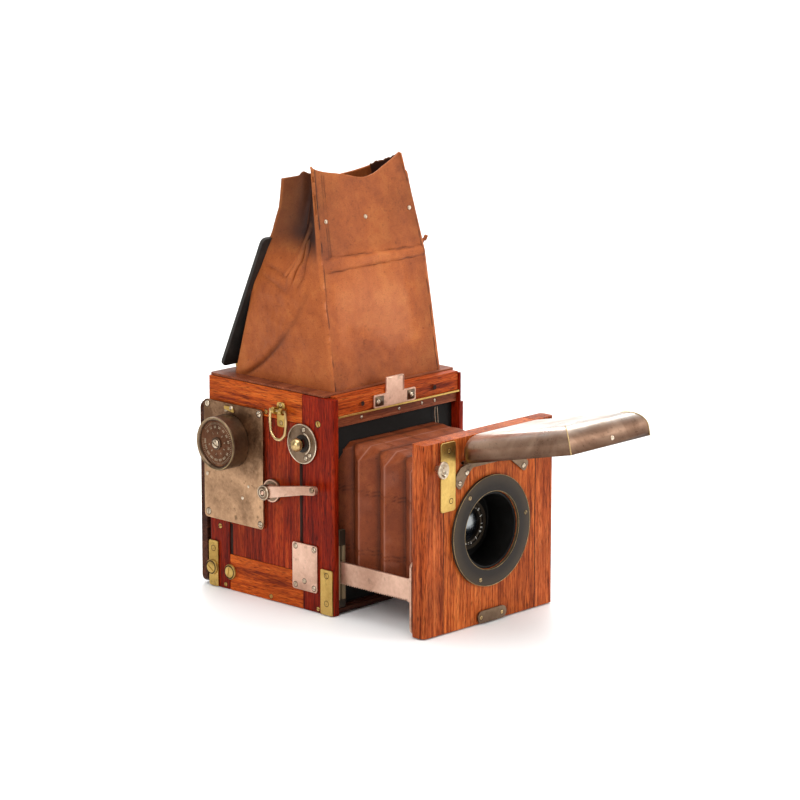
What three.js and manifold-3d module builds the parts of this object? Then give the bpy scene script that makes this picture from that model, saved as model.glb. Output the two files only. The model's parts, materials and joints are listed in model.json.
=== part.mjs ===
// Tropical single-lens reflex plate camera: a polished hardwood box with a sliding lens board on racks,
// leather bellows, a folding viewing hood with its lid, a reflex mirror and a revolving plate back.
// Millimetres. +X is to the right seen from the front, +Y runs to the back, +Z is up.
// Design frame: Y = 0 is the front face of the body. The whole object is then shifted so that the
// origin is the middle of the body's underside.
import * as THREE from "three";
import { mergeVertices } from "three/addons/utils/BufferGeometryUtils.js";
import Module from "manifold-3d";

const wasm = await Module();
wasm.setup();

// ---------------------------------------------------------------- driving dimensions
const GAP = 0.3; // clearance between pieces that touch
const BODY = { half: 71, depth: 133, height: 164, wall: 5.5, edge: 3, floor: 5.7 };
const INNER = BODY.half - BODY.wall - GAP; // half width of what fits between the side walls
const BOARD = { front: -90.75, back: -77.55, bottom: 0.5, top: 144.3, joint: 50, edge: 3.5 };
const AXIS_Z = 69.7; // height of the lens axis
const FLANGE = { outer: 41.75, inner: 29.3, thick: 2.3 };
const BARREL = { outer: 18.6, front: -70, back: -44 };
const RACK = { x: 63, thick: 2, bottom: 24, top: 41, back: 26, pitch: 0.75 * Math.PI };
const PINION = { y: 14, radius: 6, teeth: 16 }; // radius is the pitch radius, module 0.75
const PINION_Z = RACK.bottom + 0.6 - PINION.radius;
const FLAP = { y: -93.6, z: 126, tilt: 12.7, length: 115, half: 43, deep: 20.3, skin: 1.3, lift: 0.6 };
const LID = { y: 129.5, z: 168, tilt: 24, length: 115, half: 61.5, thick: 3 };
const MIRROR = { y: 112, z: 127, length: 97, half: 50 };
const SCREEN_Z = 145.8; // underside of the ground glass
const BACK = { z: 71.8, half: 70.8, front: 135.9, rear: 142.3 };
const HOLDER = { half: 61.5, high: 48, front: 138.4, rear: 148.2 };
const BELLOWS = { z: 75, wide: 57, narrow: 47.5, high: 52.5, corner: 12, rear: 16.2, skin: 1.4, pleats: 3.5 };
const WELL = { half: 57.6, front: 13.4, rear: 116.6 }; // opening that the hood drops into

// ---------------------------------------------------------------- materials
const mat = (color, roughness, metalness) =>
  new THREE.MeshStandardMaterial({ color, roughness, metalness });
const WOOD = mat(0x8a3216, 0.3, 0);
const WOOD_PALE = mat(0xb4602a, 0.3, 0);
const WOOD_DARK = mat(0x4a1f12, 0.4, 0);
const BRASS = mat(0xb08a4a, 0.35, 0.9);
const NICKEL = mat(0xa9927f, 0.35, 0.9);
const PATINA = mat(0x8f7560, 0.45, 0.8);
const BLACKED = mat(0x14120f, 0.5, 0.3);
const LEATHER_RED = mat(0x6e2a1c, 0.55, 0);
const LEATHER_BROWN = mat(0x4a2a1c, 0.55, 0);
const CLOTH = mat(0x111111, 0.9, 0);
const GLASS = mat(0x93a8ac, 0.05, 0);
const SILVERED = mat(0xcfd4d6, 0.05, 1);

// ---------------------------------------------------------------- geometry helpers
const V = (x, y, z) => new THREE.Vector3(x, y, z);
const rad = THREE.MathUtils.degToRad;

/** The geometry as a manifold-3d solid whose faces point outwards. */
function solid(geometry) {
  const plain = geometry.clone();
  plain.deleteAttribute("normal");
  plain.deleteAttribute("uv");
  const merged = mergeVertices(plain, 1e-4);
  const p = merged.attributes.position;
  const t = new Uint32Array(merged.index.array);
  const corner = [V(), V(), V()];
  let volume = 0;
  for (let i = 0; i < t.length; i += 3) {
    corner.forEach((c, k) => c.fromBufferAttribute(p, t[i + k]));
    volume += corner[0].dot(corner[1].clone().cross(corner[2]));
  }
  if (volume < 0) for (let i = 0; i < t.length; i += 3) [t[i], t[i + 1]] = [t[i + 1], t[i]];
  return new wasm.Manifold(new wasm.Mesh({ numProp: 3, vertProperties: p.array, triVerts: t }));
}

function geometryOf(manifold) {
  const m = manifold.getMesh();
  const n = m.numProp;
  const positions = new Float32Array(m.numVert * 3);
  for (let i = 0; i < m.numVert; i++) {
    positions.set(m.vertProperties.subarray(i * n, i * n + 3), i * 3);
  }
  const g = new THREE.BufferGeometry();
  g.setAttribute("position", new THREE.BufferAttribute(positions, 3));
  g.setIndex(new THREE.BufferAttribute(new Uint32Array(m.triVerts), 1));
  return g;
}

const join = (first, ...rest) =>
  geometryOf(rest.reduce((sum, g) => sum.add(solid(g)), solid(first)));
const cut = (first, ...tools) =>
  geometryOf(tools.reduce((sum, g) => sum.subtract(solid(g)), solid(first)));
const common = (a, b) => geometryOf(solid(a).intersect(solid(b)));

/** A closed outline with a radius at each corner, given as [u, v, radius] anticlockwise. */
function outline(corners, steps = 3) {
  const shape = new THREE.Shape();
  const points = [];
  corners.forEach(([u, v, r = 0], i) => {
    const here = new THREE.Vector2(u, v);
    if (!r) return points.push(here);
    const [pu, pv] = corners[(i + corners.length - 1) % corners.length];
    const [nu, nv] = corners[(i + 1) % corners.length];
    const a = new THREE.Vector2(pu - u, pv - v).normalize();
    const b = new THREE.Vector2(nu - u, nv - v).normalize();
    const half = a.angleTo(b) / 2;
    const reach = r / Math.tan(half);
    const centre = a.clone().add(b).normalize().multiplyScalar(r / Math.sin(half)).add(here);
    const from = a.multiplyScalar(reach).add(here).sub(centre);
    const to = b.multiplyScalar(reach).add(here).sub(centre);
    const turn = Math.atan2(from.x * to.y - from.y * to.x, from.dot(to));
    for (let k = 0; k <= steps; k++) {
      points.push(from.clone().rotateAround(new THREE.Vector2(), (turn * k) / steps).add(centre));
    }
  });
  return shape.setFromPoints(points);
}

const rect = (u0, u1, v0, v1, r = 0, steps = 3) =>
  outline([[u0, v0, r], [u1, v0, r], [u1, v1, r], [u0, v1, r]], steps);

/** Extrudes a shape along an axis. Shape coordinates: axis x (y, z), axis y (x, z), axis z (x, y). */
function extrude(axis, shape, from, to) {
  const g = new THREE.ExtrudeGeometry(shape, { depth: to - from, bevelEnabled: false, curveSegments: 6 });
  if (axis === "x") g.applyMatrix4(new THREE.Matrix4().makeBasis(V(0, 1, 0), V(0, 0, 1), V(1, 0, 0)));
  if (axis === "y") g.applyMatrix4(new THREE.Matrix4().makeBasis(V(1, 0, 0), V(0, 0, 1), V(0, -1, 0)));
  return axis === "x" ? g.translate(from, 0, 0) : axis === "y" ? g.translate(0, to, 0) : g.translate(0, 0, from);
}

const block = (x0, x1, y0, y1, z0, z1) =>
  new THREE.BoxGeometry(x1 - x0, y1 - y0, z1 - z0)
    .translate((x0 + x1) / 2, (y0 + y1) / 2, (z0 + z1) / 2);

/** Turns a profile of [radius, distance along the axis] about an axis through the point. */
function turned(axis, profile, [x, y, z], segments = 32) {
  const g = new THREE.LatheGeometry(profile.map(([r, t]) => new THREE.Vector2(r, t)), segments);
  if (axis === "x") g.rotateZ(-Math.PI / 2);
  if (axis === "z") g.rotateX(Math.PI / 2);
  return g.translate(x, y, z);
}

const rod = (axis, r, from, to, at, segments = 20) =>
  turned(axis, [[0, from], [r, from], [r, to], [0, to]], at, segments);
const ring = (axis, inner, outer, from, to, at, segments = 36) =>
  turned(axis, [[inner, from], [outer, from], [outer, to], [inner, to], [inner, from]], at, segments);

/** A closed solid through a stack of rings, each with the same number of points. */
function loft(rings) {
  const n = rings[0].length;
  const points = rings.flat();
  const index = [];
  for (let j = 0; j + 1 < rings.length; j++) {
    for (let i = 0; i < n; i++) {
      const a = j * n + i;
      const b = j * n + ((i + 1) % n);
      index.push(a, b, b + n, a, b + n, a + n);
    }
  }
  [[0, -1], [rings.length - 1, 1]].forEach(([j, side]) => {
    const centre = rings[j].reduce((sum, p) => sum.add(p), V()).divideScalar(n);
    const c = points.push(centre) - 1;
    for (let i = 0; i < n; i++) {
      const a = j * n + i;
      const b = j * n + ((i + 1) % n);
      index.push(...(side > 0 ? [a, b, c] : [b, a, c]));
    }
  });
  const g = new THREE.BufferGeometry().setFromPoints(points);
  g.setIndex(index);
  return g;
}

// ---------------------------------------------------------------- assembly
const camera = new THREE.Group();
camera.position.y = -BODY.depth / 2;

function piece(name, geometry, material, parent = camera) {
  const mesh = new THREE.Mesh(geometry, material.clone());
  mesh.name = name;
  parent.add(mesh);
  return mesh;
}

/** A group whose own frame stands at a pivot and is turned about X. */
function pivot(y, z, degrees) {
  const g = new THREE.Group();
  g.position.set(0, y, z);
  g.rotation.x = rad(degrees);
  camera.add(g);
  return g;
}

// ---------------------------------------------------------------- wooden body
function sideWall(side) {
  const { half, depth, height, wall, edge } = BODY;
  const plan = side < 0
    ? outline([[-half, 0, edge], [wall - half, 0], [wall - half, depth], [-half, depth, edge]])
    : outline([[half - wall, 0], [half, 0, edge], [half, depth, edge], [half - wall, depth]]);
  return extrude("z", plan, 0, height);
}

function baseBoard() {
  const slab = block(-INNER, INNER, 4, BODY.depth, 0, BODY.floor);
  const lip = block(-INNER, INNER, 0.5, 4.1, 2.6, 5);
  return cut(join(slab, lip), rod("z", 7.4, -1, 9, [0, 50, 0], 24));
}

function backPanel() {
  const panel = rect(-INNER, INNER, BODY.floor + GAP, BODY.height);
  panel.holes.push(rect(-56, 56, BACK.z - 56, BACK.z + 56));
  return extrude("y", panel, 127, BODY.depth);
}

function hoodLedge() {
  const frame = rect(-70, 70, 9, 132.5, 3);
  frame.holes.push(rect(-WELL.half, WELL.half, WELL.front, WELL.rear));
  return extrude("z", frame, BODY.height + GAP, 166.2);
}

function screenFrame() {
  const frame = block(-INNER, INNER, 12.5, 126.7, 141.5, 148.5);
  return cut(
    frame,
    block(-51, 51, 16, 118, 140, 150),
    block(-54.3, 54.3, 12.6, 121.3, SCREEN_Z - GAP, 150),
  );
}

/** Blackened board behind the front opening, with the eight-sided hole that the bellows pass through. */
function frontMask() {
  const board = rect(-INNER, INNER, BODY.floor + GAP, 141.2);
  const w = BELLOWS.wide + 0.6;
  const low = BELLOWS.z - BELLOWS.high - 0.6;
  const high = BELLOWS.z + BELLOWS.high + 0.6;
  const k = BELLOWS.corner;
  board.holes.push(outline([
    [-w + k, low], [w - k, low], [w, low + k], [w, high - k],
    [w - k, high], [-w + k, high], [-w, high - k], [-w, low + k],
  ]));
  const slots = [-1, 1].map((s) =>
    block(s * RACK.x - 2, s * RACK.x + 2, 5, 13, PINION_Z - 7.5, RACK.top + 1));
  return cut(extrude("y", board, 8, 10.5), ...slots);
}

function rackGuide(side) {
  const x = side * 62.2;
  const plate = block(x - 3.2, x + 3.2, -0.4, 2.8, 6, 65);
  return cut(plate, block(side * RACK.x - 1.5, side * RACK.x + 1.5, -2, 5, RACK.bottom - 0.7, RACK.top + 0.7));
}

// ---------------------------------------------------------------- fittings on the body
/** Flat plate on a side wall; side is -1 for the left wall and 1 for the right one. */
function wallPlate(side, shape, thick) {
  const from = BODY.half + GAP;
  return side < 0 ? extrude("x", shape, -from - thick, -from) : extrude("x", shape, from, from + thick);
}

function strap(side, y0, y1, top) {
  return wallPlate(side, rect(y0, y1, 0.4, top, 1.2), 1.2);
}

function speedDial() {
  return turned("x", [
    [0, -13.6], [2.6, -13.6], [2.6, -13], [15.5, -13], [15.5, -14.4], [17.5, -15.4],
    [19.6, -15.4], [20.5, -14.4], [20.5, 0], [0, 0],
  ], [-73.8, 107, 117.5], 40);
}

function mirrorLever() {
  const disc = rod("x", 8.6, -2.4, 0, [-71.3, 63, 86], 24);
  const boss = rod("x", 5.5, -11, -2.3, [-71.3, 63, 86], 20);
  const arm = outline([[63, 81.5, 2], [63, 90.5, 2], [22, 97.6, 2], [10, 99.2, 2.6], [8.5, 92.8, 2.6], [22, 91, 2]]);
  return join(disc, boss, extrude("x", arm, -81, -77.8));
}

function lug(side) {
  const plate = wallPlate(side, rect(48.8, 57, 136.5, 155, 2), 1.4);
  const eyes = [47.6, 55.4].map((y) =>
    rod("y", 2.7, y, y + 2.8, [side * (BODY.half + 4.6), 0, 149], 16));
  const arms = [47.6, 55.4].map((y) => {
    const x = side * BODY.half;
    const near = x + side * 1.2;
    const far = x + side * 4.6;
    return block(Math.min(near, far), Math.max(near, far), y, y + 2.8, 147, 151);
  });
  return cut(
    join(plate, block(...span(side, 0.4, 1.6), 47.6, 58.2, 147, 151), ...arms, ...eyes),
    rod("y", 1.5, 40, 66, [side * (BODY.half + 4.6), 0, 149], 16),
  );
}

/** X limits of something that reaches from one depth to another outside a side wall. */
function span(side, from, to) {
  const a = side * (BODY.half + from);
  const b = side * (BODY.half + to);
  return [Math.min(a, b), Math.max(a, b)];
}

/** D-shaped loop that hangs from its lug: a round wire with a straight pin through the lug's eyes. */
function dRing(side) {
  const x = side * (BODY.half + 4.6);
  const r = 1.15;
  const pin = rod("y", r, 44.5, 61.3, [x, 0, 149], 12);
  const path = new THREE.CurvePath();
  const bottom = new THREE.CatmullRomCurve3([
    V(x, 45.3, 149), V(x, 44.6, 143), V(x, 45.6, 133), V(x, 49.4, 128.2), V(x, 53, 127.3),
    V(x, 56.6, 128.2), V(x, 60.2, 133), V(x, 61.2, 143), V(x, 60.5, 149),
  ]);
  path.add(bottom);
  const section = new THREE.Shape().absarc(0, 0, r, 0, Math.PI * 2);
  const wire = new THREE.ExtrudeGeometry(section, { steps: 22, extrudePath: bottom, curveSegments: 5 });
  return join(pin, wire);
}

function catchPlate() {
  const face = extrude("y", rect(-28, 17, 151, 161, 2), -0.2, 1.2);
  const tab = extrude("y", outline([[-15, 156], [4.3, 156], [4.3, 173, 4], [-15, 173, 4]]), -0.2, 1.2);
  return join(face, tab);
}

function lidHinge() {
  const barrel = rod("x", 1.5, -44, 44, [0, LID.y, LID.z], 16);
  return join(barrel, block(-40, 40, LID.y - 1.4, LID.y + 2.6, 166.5, LID.z));
}

// ---------------------------------------------------------------- lens board and lens
function boardPanel() {
  const panel = rect(-BOARD.joint + GAP / 2, BOARD.joint - GAP / 2, BOARD.bottom, BOARD.top);
  const hole = rod("y", 29.2, BOARD.front - 1, BOARD.back + 1, [0, 0, AXIS_Z], 36);
  return cut(extrude("y", panel, BOARD.front, BOARD.back), hole);
}

function boardStile(side) {
  const inner = side * (BOARD.joint + GAP / 2);
  const outer = side * BODY.half;
  const r = BOARD.edge;
  const plan = side < 0
    ? outline([[outer, BOARD.front, r], [inner, BOARD.front], [inner, BOARD.back], [outer, BOARD.back, r]])
    : outline([[inner, BOARD.front], [outer, BOARD.front, r], [outer, BOARD.back, r], [inner, BOARD.back]]);
  return extrude("z", plan, BOARD.bottom, BOARD.top);
}

/** Deep cup behind the flange: the lens sits in a hole in its bottom. */
function lensCup() {
  return turned("y", [
    [27, -90.9], [28.7, -90.9], [28.7, -62.5], [19, -62.5], [19, -64.5], [27, -64.5], [27, -90.9],
  ], [0, 0, AXIS_Z], 36);
}

function lensBarrel() {
  return turned("y", [
    [13.4, -69.2], [15.3, -69.2], [15.3, -65.7], [18.6, -65.7], [18.6, -44], [13.4, -44], [13.4, -48],
    [12, -48], [12, -64], [13.4, -64], [13.4, -69.2],
  ], [0, 0, AXIS_Z], 32);
}

function lensGlass(front, sag, back, r = 13.1) {
  const arc = [0, 0.35, 0.7, 1].map((s) => [r * s, front + sag * s * s]);
  return turned("y", [...arc, [r, back], [0, back]], [0, 0, AXIS_Z], 24);
}

function hingePlate() {
  const y0 = BOARD.front - GAP - 1.4;
  const plate = outline([
    [-26, FLAP.z - 1.8, 2], [-37.5, 109, 3], [-31.5, 103.6, 2], [-20, 110], [20, 110], [36, 103, 2], [42.5, 110, 3],
    [26, FLAP.z - 1.8, 2],
  ]);
  const body = extrude("y", plate, y0, BOARD.front - GAP);
  const knuckle = rod("x", 1.5, -26, 26, [0, FLAP.y, FLAP.z], 14);
  const web = block(-26, 26, FLAP.y, y0 + 0.4, FLAP.z - 2.6, FLAP.z + 0.6);
  return cut(join(body, web, knuckle), rod("y", FLANGE.outer + 0.5, -100, -80, [0, 0, AXIS_Z], 40));
}

function latchStrip() {
  return extrude("y", rect(-54, -38.5, 92, 143.5, 2), BOARD.front - GAP - 1.1, BOARD.front - GAP);
}

/** Rack with its teeth on the lower edge and the flange that is screwed to the back of the board. */
function rack(side) {
  const { x, thick, bottom, top, back, pitch } = RACK;
  const root = bottom + 1.4;
  const start = BOARD.back + 1.5;
  const points = [[start, top], [start, root]];
  const first = Math.ceil((start + 4 - PINION.y) / pitch - 0.5);
  const last = Math.floor((back - 1.5 - PINION.y) / pitch - 0.5);
  for (let i = first; i <= last; i++) {
    const y = PINION.y + (i + 0.5) * pitch; // a gap between teeth stands over the pinion at rest
    points.push([y - 0.76, root], [y - 0.25, bottom], [y + 0.25, bottom], [y + 0.76, root]);
  }
  points.push([back, root], [back, top]);
  const blade = extrude("x", outline(points), side * x - thick / 2, side * x + thick / 2);
  const flange = extrude("y", rect(side * 63.5 - 6, side * 63.5 + 6, 1, 56, 5), BOARD.back + GAP, BOARD.back + 2.2);
  return join(blade, flange);
}

/** Shallow tray that folds down over the lens, in the frame of its hinge: -Y is along it, +Z its outside. */
function flapTray() {
  const shell = (inset, drop) => {
    const h = FLAP.half - inset;
    const r = 13 - inset;
    const top = FLAP.deep - inset;
    const across = outline([[-h, drop], [h, drop], [h, top, r], [-h, top, r]], 5);
    const along = outline([
      [-FLAP.length + inset, drop], [-5 - inset, drop], [-5 - inset, top, 15 - inset],
      [-FLAP.length + inset, top, r],
    ], 5);
    return common(extrude("y", across, -FLAP.length, 0), extrude("x", along, -h, h));
  };
  return cut(shell(0, FLAP.lift), shell(FLAP.skin, FLAP.lift - 3));
}

function flapHinge() {
  const arms = [-1, 1].map((s) =>
    block(Math.min(s * 26.6, s * 33), Math.max(s * 26.6, s * 33), -7, 0.4, -1, 1.5));
  return arms.map((arm, i) => join(arm, rod("x", 1.5, i ? 26.6 : -33, i ? 33 : -26.6, [0, 0, 0], 14)));
}

function turnKnob() {
  const stem = rod("y", 2.6, -5, 0, [-59, BOARD.front - GAP, 125.5], 14);
  const head = extrude("y", outline([[-64, 119.2, 2.6], [-54, 122.4, 3], [-54, 131.8, 2.6], [-64, 128.6, 3]]),
    BOARD.front - 8, BOARD.front - 4.2);
  return join(stem, head);
}

// ---------------------------------------------------------------- focusing
function pinionShaft() {
  const { y, radius, teeth } = PINION;
  const points = [];
  for (let i = 0; i < teeth; i++) {
    const at = Math.PI / 2 + (i * 2 * Math.PI) / teeth;
    const tip = radius + 0.6;
    const root = radius - 0.85;
    [[root, -0.72], [radius, -0.46], [tip, -0.22], [tip, 0.22], [radius, 0.46], [root, 0.72]].forEach(([r, w]) => {
      const a = at + w / r;
      points.push([r * Math.cos(a) + y, r * Math.sin(a) + PINION_Z]);
    });
  }
  const gears = [-1, 1].map((s) => extrude("x", outline(points), s * RACK.x - 1.6, s * RACK.x + 1.6));
  return join(rod("x", 2.2, -65, 88, [0, y, PINION_Z], 16), ...gears);
}

/** Milled knob on the right-hand end of the pinion shaft. */
function focusKnob() {
  const flutes = 30;
  const points = [];
  for (let i = 0; i < flutes * 2; i++) {
    const a = (i * Math.PI) / flutes;
    const r = i % 2 ? 13.2 : 13.9;
    points.push([PINION.y + r * Math.cos(a), PINION_Z + r * Math.sin(a)]);
  }
  const rim = extrude("x", outline(points), 75, 83);
  const boss = rod("x", 6, 71.6, 87, [0, PINION.y, PINION_Z], 20);
  return cut(join(rim, boss), rod("x", 2.5, 70, 95, [0, PINION.y, PINION_Z], 16));
}

// ---------------------------------------------------------------- bellows and hood
/** Eight-sided section of the bellows at one distance along Y. */
function bellowsRing(y, inset) {
  const { z, wide, high, corner } = BELLOWS;
  const w = wide - inset;
  const h = high - inset;
  return [
    [-w + corner, -h], [w - corner, -h], [w, corner - h], [w, h - corner],
    [w - corner, h], [-w + corner, h], [-w, h - corner], [-w, corner - h],
  ].map(([x, dz]) => V(x, y, z + dz));
}

function bellows() {
  const front = BOARD.back + GAP;
  const folds = BELLOWS.pleats * 2;
  const rings = (extra, past) =>
    Array.from({ length: folds + 1 }, (_, i) => {
      const y = front + ((BELLOWS.rear - front) * i) / folds;
      const end = i === 0 ? -past : i === folds ? past : 0;
      return bellowsRing(y + end, extra + (i % 2 ? 0 : BELLOWS.wide - BELLOWS.narrow));
    });
  return cut(loft(rings(0, 0)), loft(rings(BELLOWS.skin, 1)));
}

/** Section of the viewing hood: front and rear panels with side gussets that fold inwards. */
function hoodRing({ z, back = z, front, rear, half, fold, dip }, skin, rise) {
  const h = half - skin;
  const f = front + skin;
  const b = rear - skin;
  const mid = (f + b) / 2;
  const low = back + rise;
  const top = z + rise;
  return [
    V(-h, f, top), V(0, f, top - dip), V(h, f, top), V(h - fold, mid, low - dip / 4),
    V(h, b, low), V(0, b, low - dip / 4), V(-h, b, low), V(-h + fold, mid, low - dip / 4),
  ];
}

function hood() {
  const sections = [
    { z: 160, front: 14, rear: 116, half: 57, fold: 0.3, dip: 0 },
    { z: 168, front: 14.4, rear: 115.6, half: 57, fold: 0.3, dip: 0 },
    { z: 256.5, front: 28, rear: 84.5, half: 55, fold: 3, dip: 0 },
    { z: 330, back: 318, front: 44, rear: 72, half: 48, fold: 14, dip: 12 },
  ];
  const stack = (skin, past) =>
    sections.map((s, i) => hoodRing(s, skin, i === 0 ? -past : i === sections.length - 1 ? past : 0));
  return cut(loft(stack(0, 0)), loft(stack(1.6, 1)));
}

// ---------------------------------------------------------------- mirror, shutter and back
/** Frame of the mirror in the frame of its hinge: -Y is along it, +Z its reflecting side. */
function mirrorFrame() {
  const tray = block(-MIRROR.half, MIRROR.half, -MIRROR.length, -3.4, -2.2, 0.2);
  const strip = block(-MIRROR.half, MIRROR.half, -7, 0, -1.4, 0.2);
  return join(tray, strip, rod("x", 2, -64.6, 64.6, [0, 0, 0], 14));
}

function plateBack() {
  const { z, half, front, rear } = BACK;
  const frame = rect(-half, half, z - half, z + half, 5);
  const slab = extrude("y", frame, front, rear);
  return cut(
    slab,
    block(-49, 49, 130, 150, z - 37, z + 37),
    block(-HOLDER.half - 0.5, half + 2, HOLDER.front - GAP, rear + 2, z - HOLDER.high - 0.5, z + HOLDER.high + 0.5),
  );
}

function plateHolder() {
  const { half, high, front, rear } = HOLDER;
  const z = BACK.z;
  const slab = extrude("y", rect(-half, 66, z - high, z + high, 2), front, rear);
  return cut(
    slab,
    block(-46, 46, front - 1, front + 3.2, z - 35, z + 35),
    block(-53, 70, front + 2.2, front + 3.8, z - 40, z + 40),
  );
}

function drawSlide() {
  const z = BACK.z;
  const y0 = HOLDER.front + 2.5;
  return join(
    block(-52, 68, y0, y0 + 1, z - 39.6, z + 39.6),
    block(66.4, 72, y0 - 1.4, y0 + 2.4, z - 30, z + 30),
  );
}

function roller(z, y = 120) {
  const rim = rod("x", 5, -58, 58, [0, y, z], 16);
  return join(rim, rod("x", 1.8, -65, 65, [0, y, z], 12));
}

function windingKey() {
  const at = [0, 120, 133];
  const boss = rod("x", 5, 71.6, 78, at, 16);
  const wing = extrude("x", rect(109, 131, 129.5, 136.5, 3.4), 76, 79.4);
  return cut(join(boss, wing), rod("x", 2.2, 70, 74.5, at, 12));
}

// ---------------------------------------------------------------- put together
piece("side_wall_left", cut(sideWall(-1), rod("x", 3.2, -75, -60, [0, 30.5, 127.3], 16)), WOOD);
piece(
  "side_wall_right",
  cut(
    sideWall(1),
    rod("x", 2.7, 60, 75, [0, PINION.y, PINION_Z], 16),
    rod("x", 2.3, 60, 75, [0, 120, 133], 12),
  ),
  WOOD,
);
piece("base_board", baseBoard(), WOOD_PALE);
piece("back_panel", backPanel(), WOOD);
piece("top_front_rail", block(-INNER, INNER, 1.5, 8.6, 150.5, 165.3), WOOD_PALE);
piece("front_lip", block(-INNER, INNER, 3, 12.2, 142, 150.2), WOOD_DARK);
piece("hood_ledge", hoodLedge(), LEATHER_BROWN);
piece("screen_frame", screenFrame(), BLACKED);
piece("ground_glass", block(-54, 54, 12.9, 121, SCREEN_Z, SCREEN_Z + 2), GLASS);
piece("front_mask", frontMask(), BLACKED);
piece("rack_guide_left", rackGuide(-1), BLACKED);
piece("rack_guide_right", rackGuide(1), BLACKED);
piece("tripod_bush", ring("z", 4.6, 7, 0.1, 5.6, [0, 50, 0], 24), BRASS);
piece("catch_plate", catchPlate(), NICKEL);
piece("shutter_plate", wallPlate(-1, rect(72, 135.6, 54, 146, 3), 2.1), PATINA);
piece("release_escutcheon", ring("x", 3.4, 15, -BODY.half - GAP - 1.5, -BODY.half - GAP, [0, 31, 127], 32), PATINA);
piece("rack_cover", wallPlate(-1, rect(16, 42, 15, 51, 2), 1.3), NICKEL);
for (const [side, word] of [[-1, "left"], [1, "right"]]) {
  piece("strap_front_" + word, strap(side, 0.6, side < 0 ? 12.6 : 7.4, 35), BRASS);
  piece("strap_rear_" + word, strap(side, 122.7, 132.6, 36), BRASS);
  piece("lug_" + word, lug(side), BRASS);
  piece("d_ring_" + word, dRing(side), BRASS);
  piece("rack_" + word, rack(side), NICKEL);
  piece("board_stile_" + word, boardStile(side), WOOD_DARK);
}
piece("speed_dial", speedDial(), PATINA);
piece("mirror_lever", mirrorLever(), NICKEL);
piece("release_button", turned("x", [
  [0, -11.7], [3, -11], [5, -9], [5, -7.6], [2.4, -6.4], [2.4, 0], [0, 0],
], [-71.4, 30.5, 127.3], 20), BRASS);
piece("lid_hinge", lidHinge(), BRASS);

piece("board_panel", boardPanel(), WOOD);
piece("lens_flange", ring("y", FLANGE.inner, FLANGE.outer, BOARD.front - GAP - FLANGE.thick,
  BOARD.front - GAP, [0, 0, AXIS_Z], 48), BLACKED);
piece("lens_cup", lensCup(), BLACKED);
piece("lens_barrel", lensBarrel(), BLACKED);
piece("iris_ring", ring("y", 15.7, 18.6, -70, -66, [0, 0, AXIS_Z], 32), BLACKED);
piece("iris", ring("y", 6, 11.7, -56.6, -56, [0, 0, AXIS_Z], 24), BLACKED);
piece("front_glass", lensGlass(-68.4, 2.2, -64.4), GLASS);
piece("hinge_plate", hingePlate(), PATINA);
piece("latch_strip", latchStrip(), BRASS);
piece("lower_catch", extrude("y", rect(-14, 17, 0.7, 10, 4.4, 5), BOARD.front - GAP - 1.4, BOARD.front - GAP), NICKEL);
piece("turn_knob", turnKnob(), NICKEL);

const flap = pivot(FLAP.y, FLAP.z, -FLAP.tilt);
const [armLeft, armRight] = flapHinge();
piece("lens_flap", join(flapTray(), armLeft, armRight), PATINA, flap);

piece("pinion_shaft", pinionShaft(), BRASS);
piece("focus_knob", focusKnob(), BRASS);
piece("bellows", bellows(), LEATHER_RED);
piece("hood", hood(), LEATHER_BROWN);

const lid = pivot(LID.y, LID.z, LID.tilt);
piece("lid", extrude("y", rect(-LID.half, LID.half, 2.6, LID.length, 4), -LID.thick / 2, LID.thick / 2),
  LEATHER_BROWN, lid);

const mirror = pivot(MIRROR.y, MIRROR.z, 45);
piece("mirror_frame", mirrorFrame(), BLACKED, mirror);
piece("mirror_glass", block(2 - MIRROR.half, MIRROR.half - 2, 2 - MIRROR.length, -8, 0.5, 2.5), SILVERED, mirror);

piece("curtain", block(-54, 54, 125.5, 126.1, 12, 133), CLOTH);
piece("roller_top", roller(133), WOOD_PALE);
piece("roller_bottom", roller(13), WOOD_PALE);
piece("winding_key", windingKey(), BRASS);
piece("turntable_ring", ring("y", 62, 67, BODY.depth + GAP, BACK.front - GAP, [0, 0, BACK.z], 48), BRASS);
piece("plate_back", plateBack(), WOOD);
piece("plate_holder", plateHolder(), WOOD_DARK);
piece("draw_slide", drawSlide(), PATINA);

const group = new THREE.Group();
group.add(camera);
export default group;
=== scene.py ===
import json
import math

import bmesh
import bpy
from mathutils import Matrix, Vector, noise


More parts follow.
